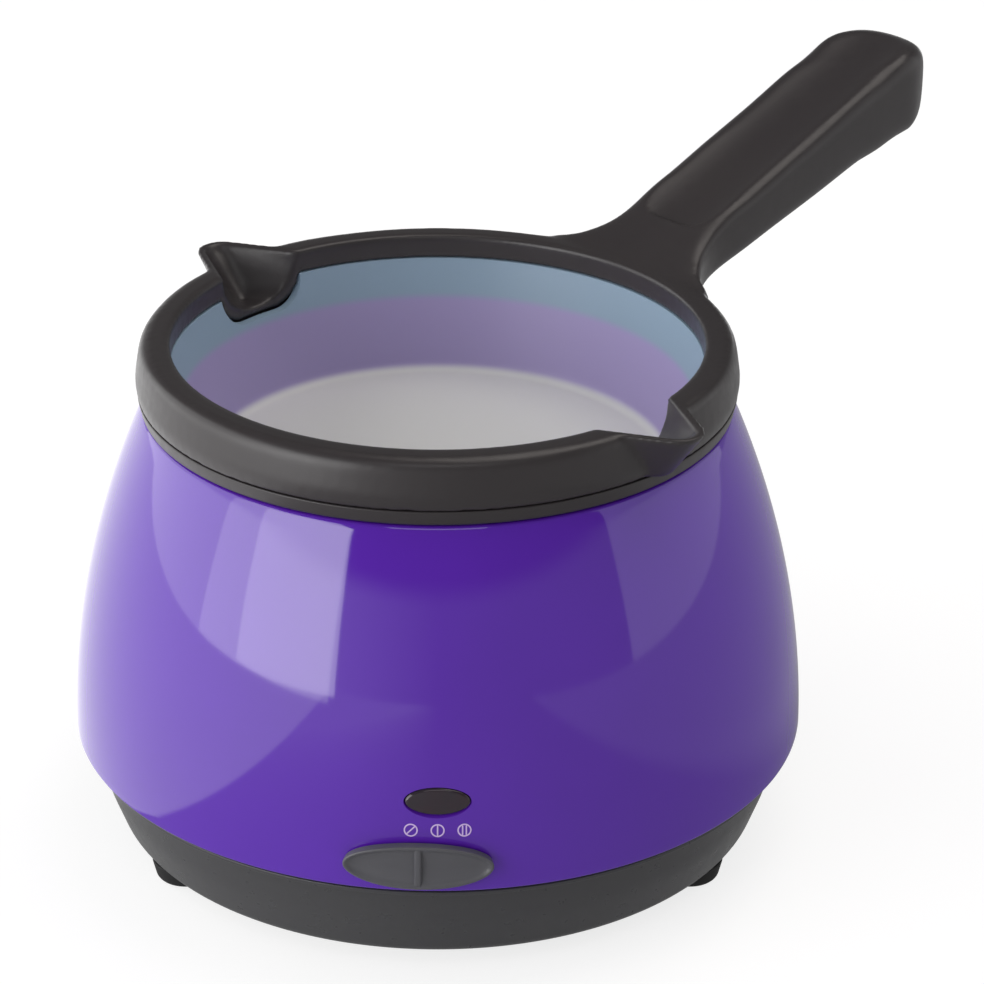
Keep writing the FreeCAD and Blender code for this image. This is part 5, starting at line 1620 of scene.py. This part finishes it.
@dataclass
class Studio:
    """Pale floor, white surroundings, soft light and the camera, with lengths in metres."""

    lights: tuple[Softbox, ...] = (
        Softbox("left_softbox", (-1.3, -1.2, 0.625), (0.0, -1.2, 0.625), 1.9, 1.25, 17.0),
        Softbox("back_left_softbox", (-1.3, 0.55, 0.625), (0.0, 0.55, 0.625), 1.6, 1.25, 9.0),
        Softbox("window_softbox", (-0.89, -0.80, 0.34), (0.0, 0.0, 0.1), 0.7, 0.66, 1.6),
        Softbox("right_softbox", (1.5, 0.15, 0.625), (0.0, 0.15, 0.625), 1.9, 1.25, 3.6),
        Softbox("front_softbox", (0.0, -1.3, 1.5), (0.0, 0.0, 0.1), 1.0, 0.6, 2.0),
        Softbox("top_softbox", (0.5, 0.3, 1.55), (0.0, 0.0, 0.1), 1.1, 1.1, 6.4, "#FFF8F2"),
    )
    zones: tuple[SweepZone, ...] = (
        SweepZone((-0.8445, 0.5355), 80.0, 8.0, 1.35, -1300.0),
        SweepZone((0.9, 0.43), 60.0, 120.0, 0.45, 1500.0),
    )
    zone_edge: float = 0.99
    floor_size: float = 8.0
    floor_colour: str = "#F0F0F0"
    floor_glow: float = 0.6
    floor_white: float = 1.3
    floor_haze_span: float = 0.4
    world_strength: float = 0.3
    world_haze_span: float = 0.6
    haze_top: float = 0.2
    room_bottom: float = 0.27
    room_strength: float = 0.1
    haze_left: float = 0.7
    haze_right: float = 0.3
    camera_distance: float = 1.030
    camera_elevation: float = 25.69
    camera_target: float = 0.0979
    camera_lens: float = 137.0
    camera_sensor: float = 36.0
    camera_shift: float = 0.0553

    def build(self) -> None:
        """Set up the floor, the world, the lights and the camera."""
        self.floor()
        self.world()
        for light in self.lights:
            light.build()
        self.camera()
        bpy.context.scene.view_settings.view_transform = "Standard"

    def floor(self) -> None:
        """Plain white floor that keeps the shadow, and mirrors as a lit sweep."""
        floor = primitive("floor", bpy.ops.mesh.primitive_plane_add, size=self.floor_size)
        material = bpy.data.materials.new("pale_floor")
        tree = blank_tree(material)
        diffuse = add_node(tree, "BsdfDiffuse", {"Color": linear(self.floor_colour)})
        glow = add_node(tree, "Emission", {"Color": WHITE, "Strength": self.floor_white})
        seen = add_node(tree, "Math", {0: self.white_rays(tree), 1: self.floor_glow},
                        operation="MULTIPLY")
        shown = add_node(tree, "MixShader", {
            0: seen.outputs[0], 1: diffuse.outputs[0], 2: glow.outputs[0]})
        sweep = add_node(tree, "Emission", {"Color": WHITE, "Strength": self.sweep_light(tree)})
        path = add_node(tree, "LightPath", {})
        mixed = add_node(tree, "MixShader", {
            0: path.outputs["Is Glossy Ray"], 1: shown.outputs[0], 2: sweep.outputs[0]})
        add_node(tree, "OutputMaterial", {"Surface": mixed.outputs[0]})
        floor.data.materials.append(material)

    def sweep_light(self, tree: NodeTree) -> NodeSocket:
        """Brightness that gloss mirrors from the floor: lit left and right, dark in front.

        Args:
            tree: Node tree of the floor.

        Returns:
            Socket with the strength of the light.
        """
        place = add_node(tree, "TexCoord", {})
        x = add_node(tree, "SeparateXYZ", {"Vector": place.outputs["Object"]}).outputs["X"]
        total = self.haze(tree, x, self.floor_haze_span)
        for zone in self.zones:
            along = add_node(tree, "VectorMath", {0: place.outputs["Object"], 1: (*zone.direction, 0.0)},
                             operation="DOT_PRODUCT")
            near = add_node(tree, "MapRange", {
                "Value": x, "From Min": zone.end * MM, "From Max": zone.end * self.zone_edge * MM,
                "To Max": zone.strength})
            lit = add_node(tree, "MapRange", {
                "Value": along.outputs["Value"], "From Min": zone.start * MM,
                "From Max": (zone.start + zone.fade) * MM, "To Max": near.outputs[0]},
                interpolation_type="SMOOTHSTEP")
            total = add_node(tree, "Math", {0: lit.outputs[0], 1: total},
                             operation="MAXIMUM").outputs[0]
        return total

    def haze(self, tree: NodeTree, x: NodeSocket, span: float) -> NodeSocket:
        """Mirrored haze of the room, which grows towards the left.

        Args:
            tree: Node tree that gets it.
            x: Socket with the place or direction along X.
            span: How far to the left of the middle the haze is full.

        Returns:
            Socket with the strength of the haze.
        """
        made = add_node(tree, "MapRange", {
            "Value": x, "From Min": -span, "From Max": 0.0,
            "To Min": self.haze_left, "To Max": self.haze_right})
        return made.outputs["Result"]

    def white_rays(self, tree: NodeTree) -> NodeSocket:
        """One for rays that show the surroundings, from the camera or through glass.

        Args:
            tree: Node tree that gets it.

        Returns:
            Socket with one or zero.
        """
        path = add_node(tree, "LightPath", {})
        made = add_node(tree, "Math", {
            0: path.outputs["Is Camera Ray"], 1: path.outputs["Is Transmission Ray"]},
            operation="MAXIMUM")
        return made.outputs[0]

    def world(self) -> None:
        """White surroundings, softer as a light than as a picture.

        Gloss mirrors a hazy wall low down and a dark room above it. Both heights are the
        upward share of the mirrored direction.
        """
        world = bpy.data.worlds.new("studio")
        bpy.context.scene.world = world
        tree = blank_tree(world)
        picture = add_node(tree, "Background", {"Color": WHITE, "Strength": 1.0})
        light = add_node(tree, "Background", {"Color": WHITE, "Strength": self.world_strength})
        place = add_node(tree, "TexCoord", {})
        way = add_node(tree, "SeparateXYZ", {"Vector": place.outputs["Generated"]})
        level = add_node(tree, "MapRange", {
            "Value": way.outputs["Z"], "From Min": self.haze_top, "From Max": self.room_bottom,
            "To Min": self.haze(tree, way.outputs["X"], self.world_haze_span),
            "To Max": self.room_strength}, interpolation_type="SMOOTHSTEP")
        room = add_node(tree, "Background", {"Color": WHITE, "Strength": level.outputs["Result"]})
        path = add_node(tree, "LightPath", {})
        lit = add_node(tree, "MixShader", {
            0: path.outputs["Is Glossy Ray"], 1: light.outputs[0], 2: room.outputs[0]})
        mixed = add_node(tree, "MixShader", {
            0: self.white_rays(tree), 1: lit.outputs[0], 2: picture.outputs[0]})
        add_node(tree, "OutputWorld", {"Surface": mixed.outputs[0]})

    def camera(self) -> None:
        """Camera at the photograph's angle, distance and framing."""
        data = bpy.data.cameras.new("camera")
        data.lens = self.camera_lens
        data.sensor_width = self.camera_sensor
        data.shift_x = self.camera_shift
        tilt = math.radians(self.camera_elevation)
        back = Vector((0, -math.cos(tilt), math.sin(tilt)))
        place = Vector((0, 0, self.camera_target)) + back * self.camera_distance
        bpy.context.scene.camera = hang("camera", data, place, -back)


def carried_nodes(nodes: dict[str, Object]) -> None:
    """Finish the frame's own nodes that stay as they are.

    Args:
        nodes: The frame's nodes by name.
    """
    for finish, slot, names in CARRIED:
        for name in names:
            dress(nodes[name], finish)
            LOG.info("%s: carried over in %s", name, finish.name)


def main() -> None:
    """Build every piece round the frame, in order, and the studio."""
    logging.basicConfig(level=logging.INFO, format="%(name)s %(message)s")
    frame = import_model()
    carried_nodes(frame["nodes"])
    Housing().build()
    HeatedWell().build()
    Pan().build()
    FrontSigns().build()
    Pot().build(frame["nodes"])
    SwitchSlider().build()
    Studio().build()


if __name__ == "__main__":
    main()
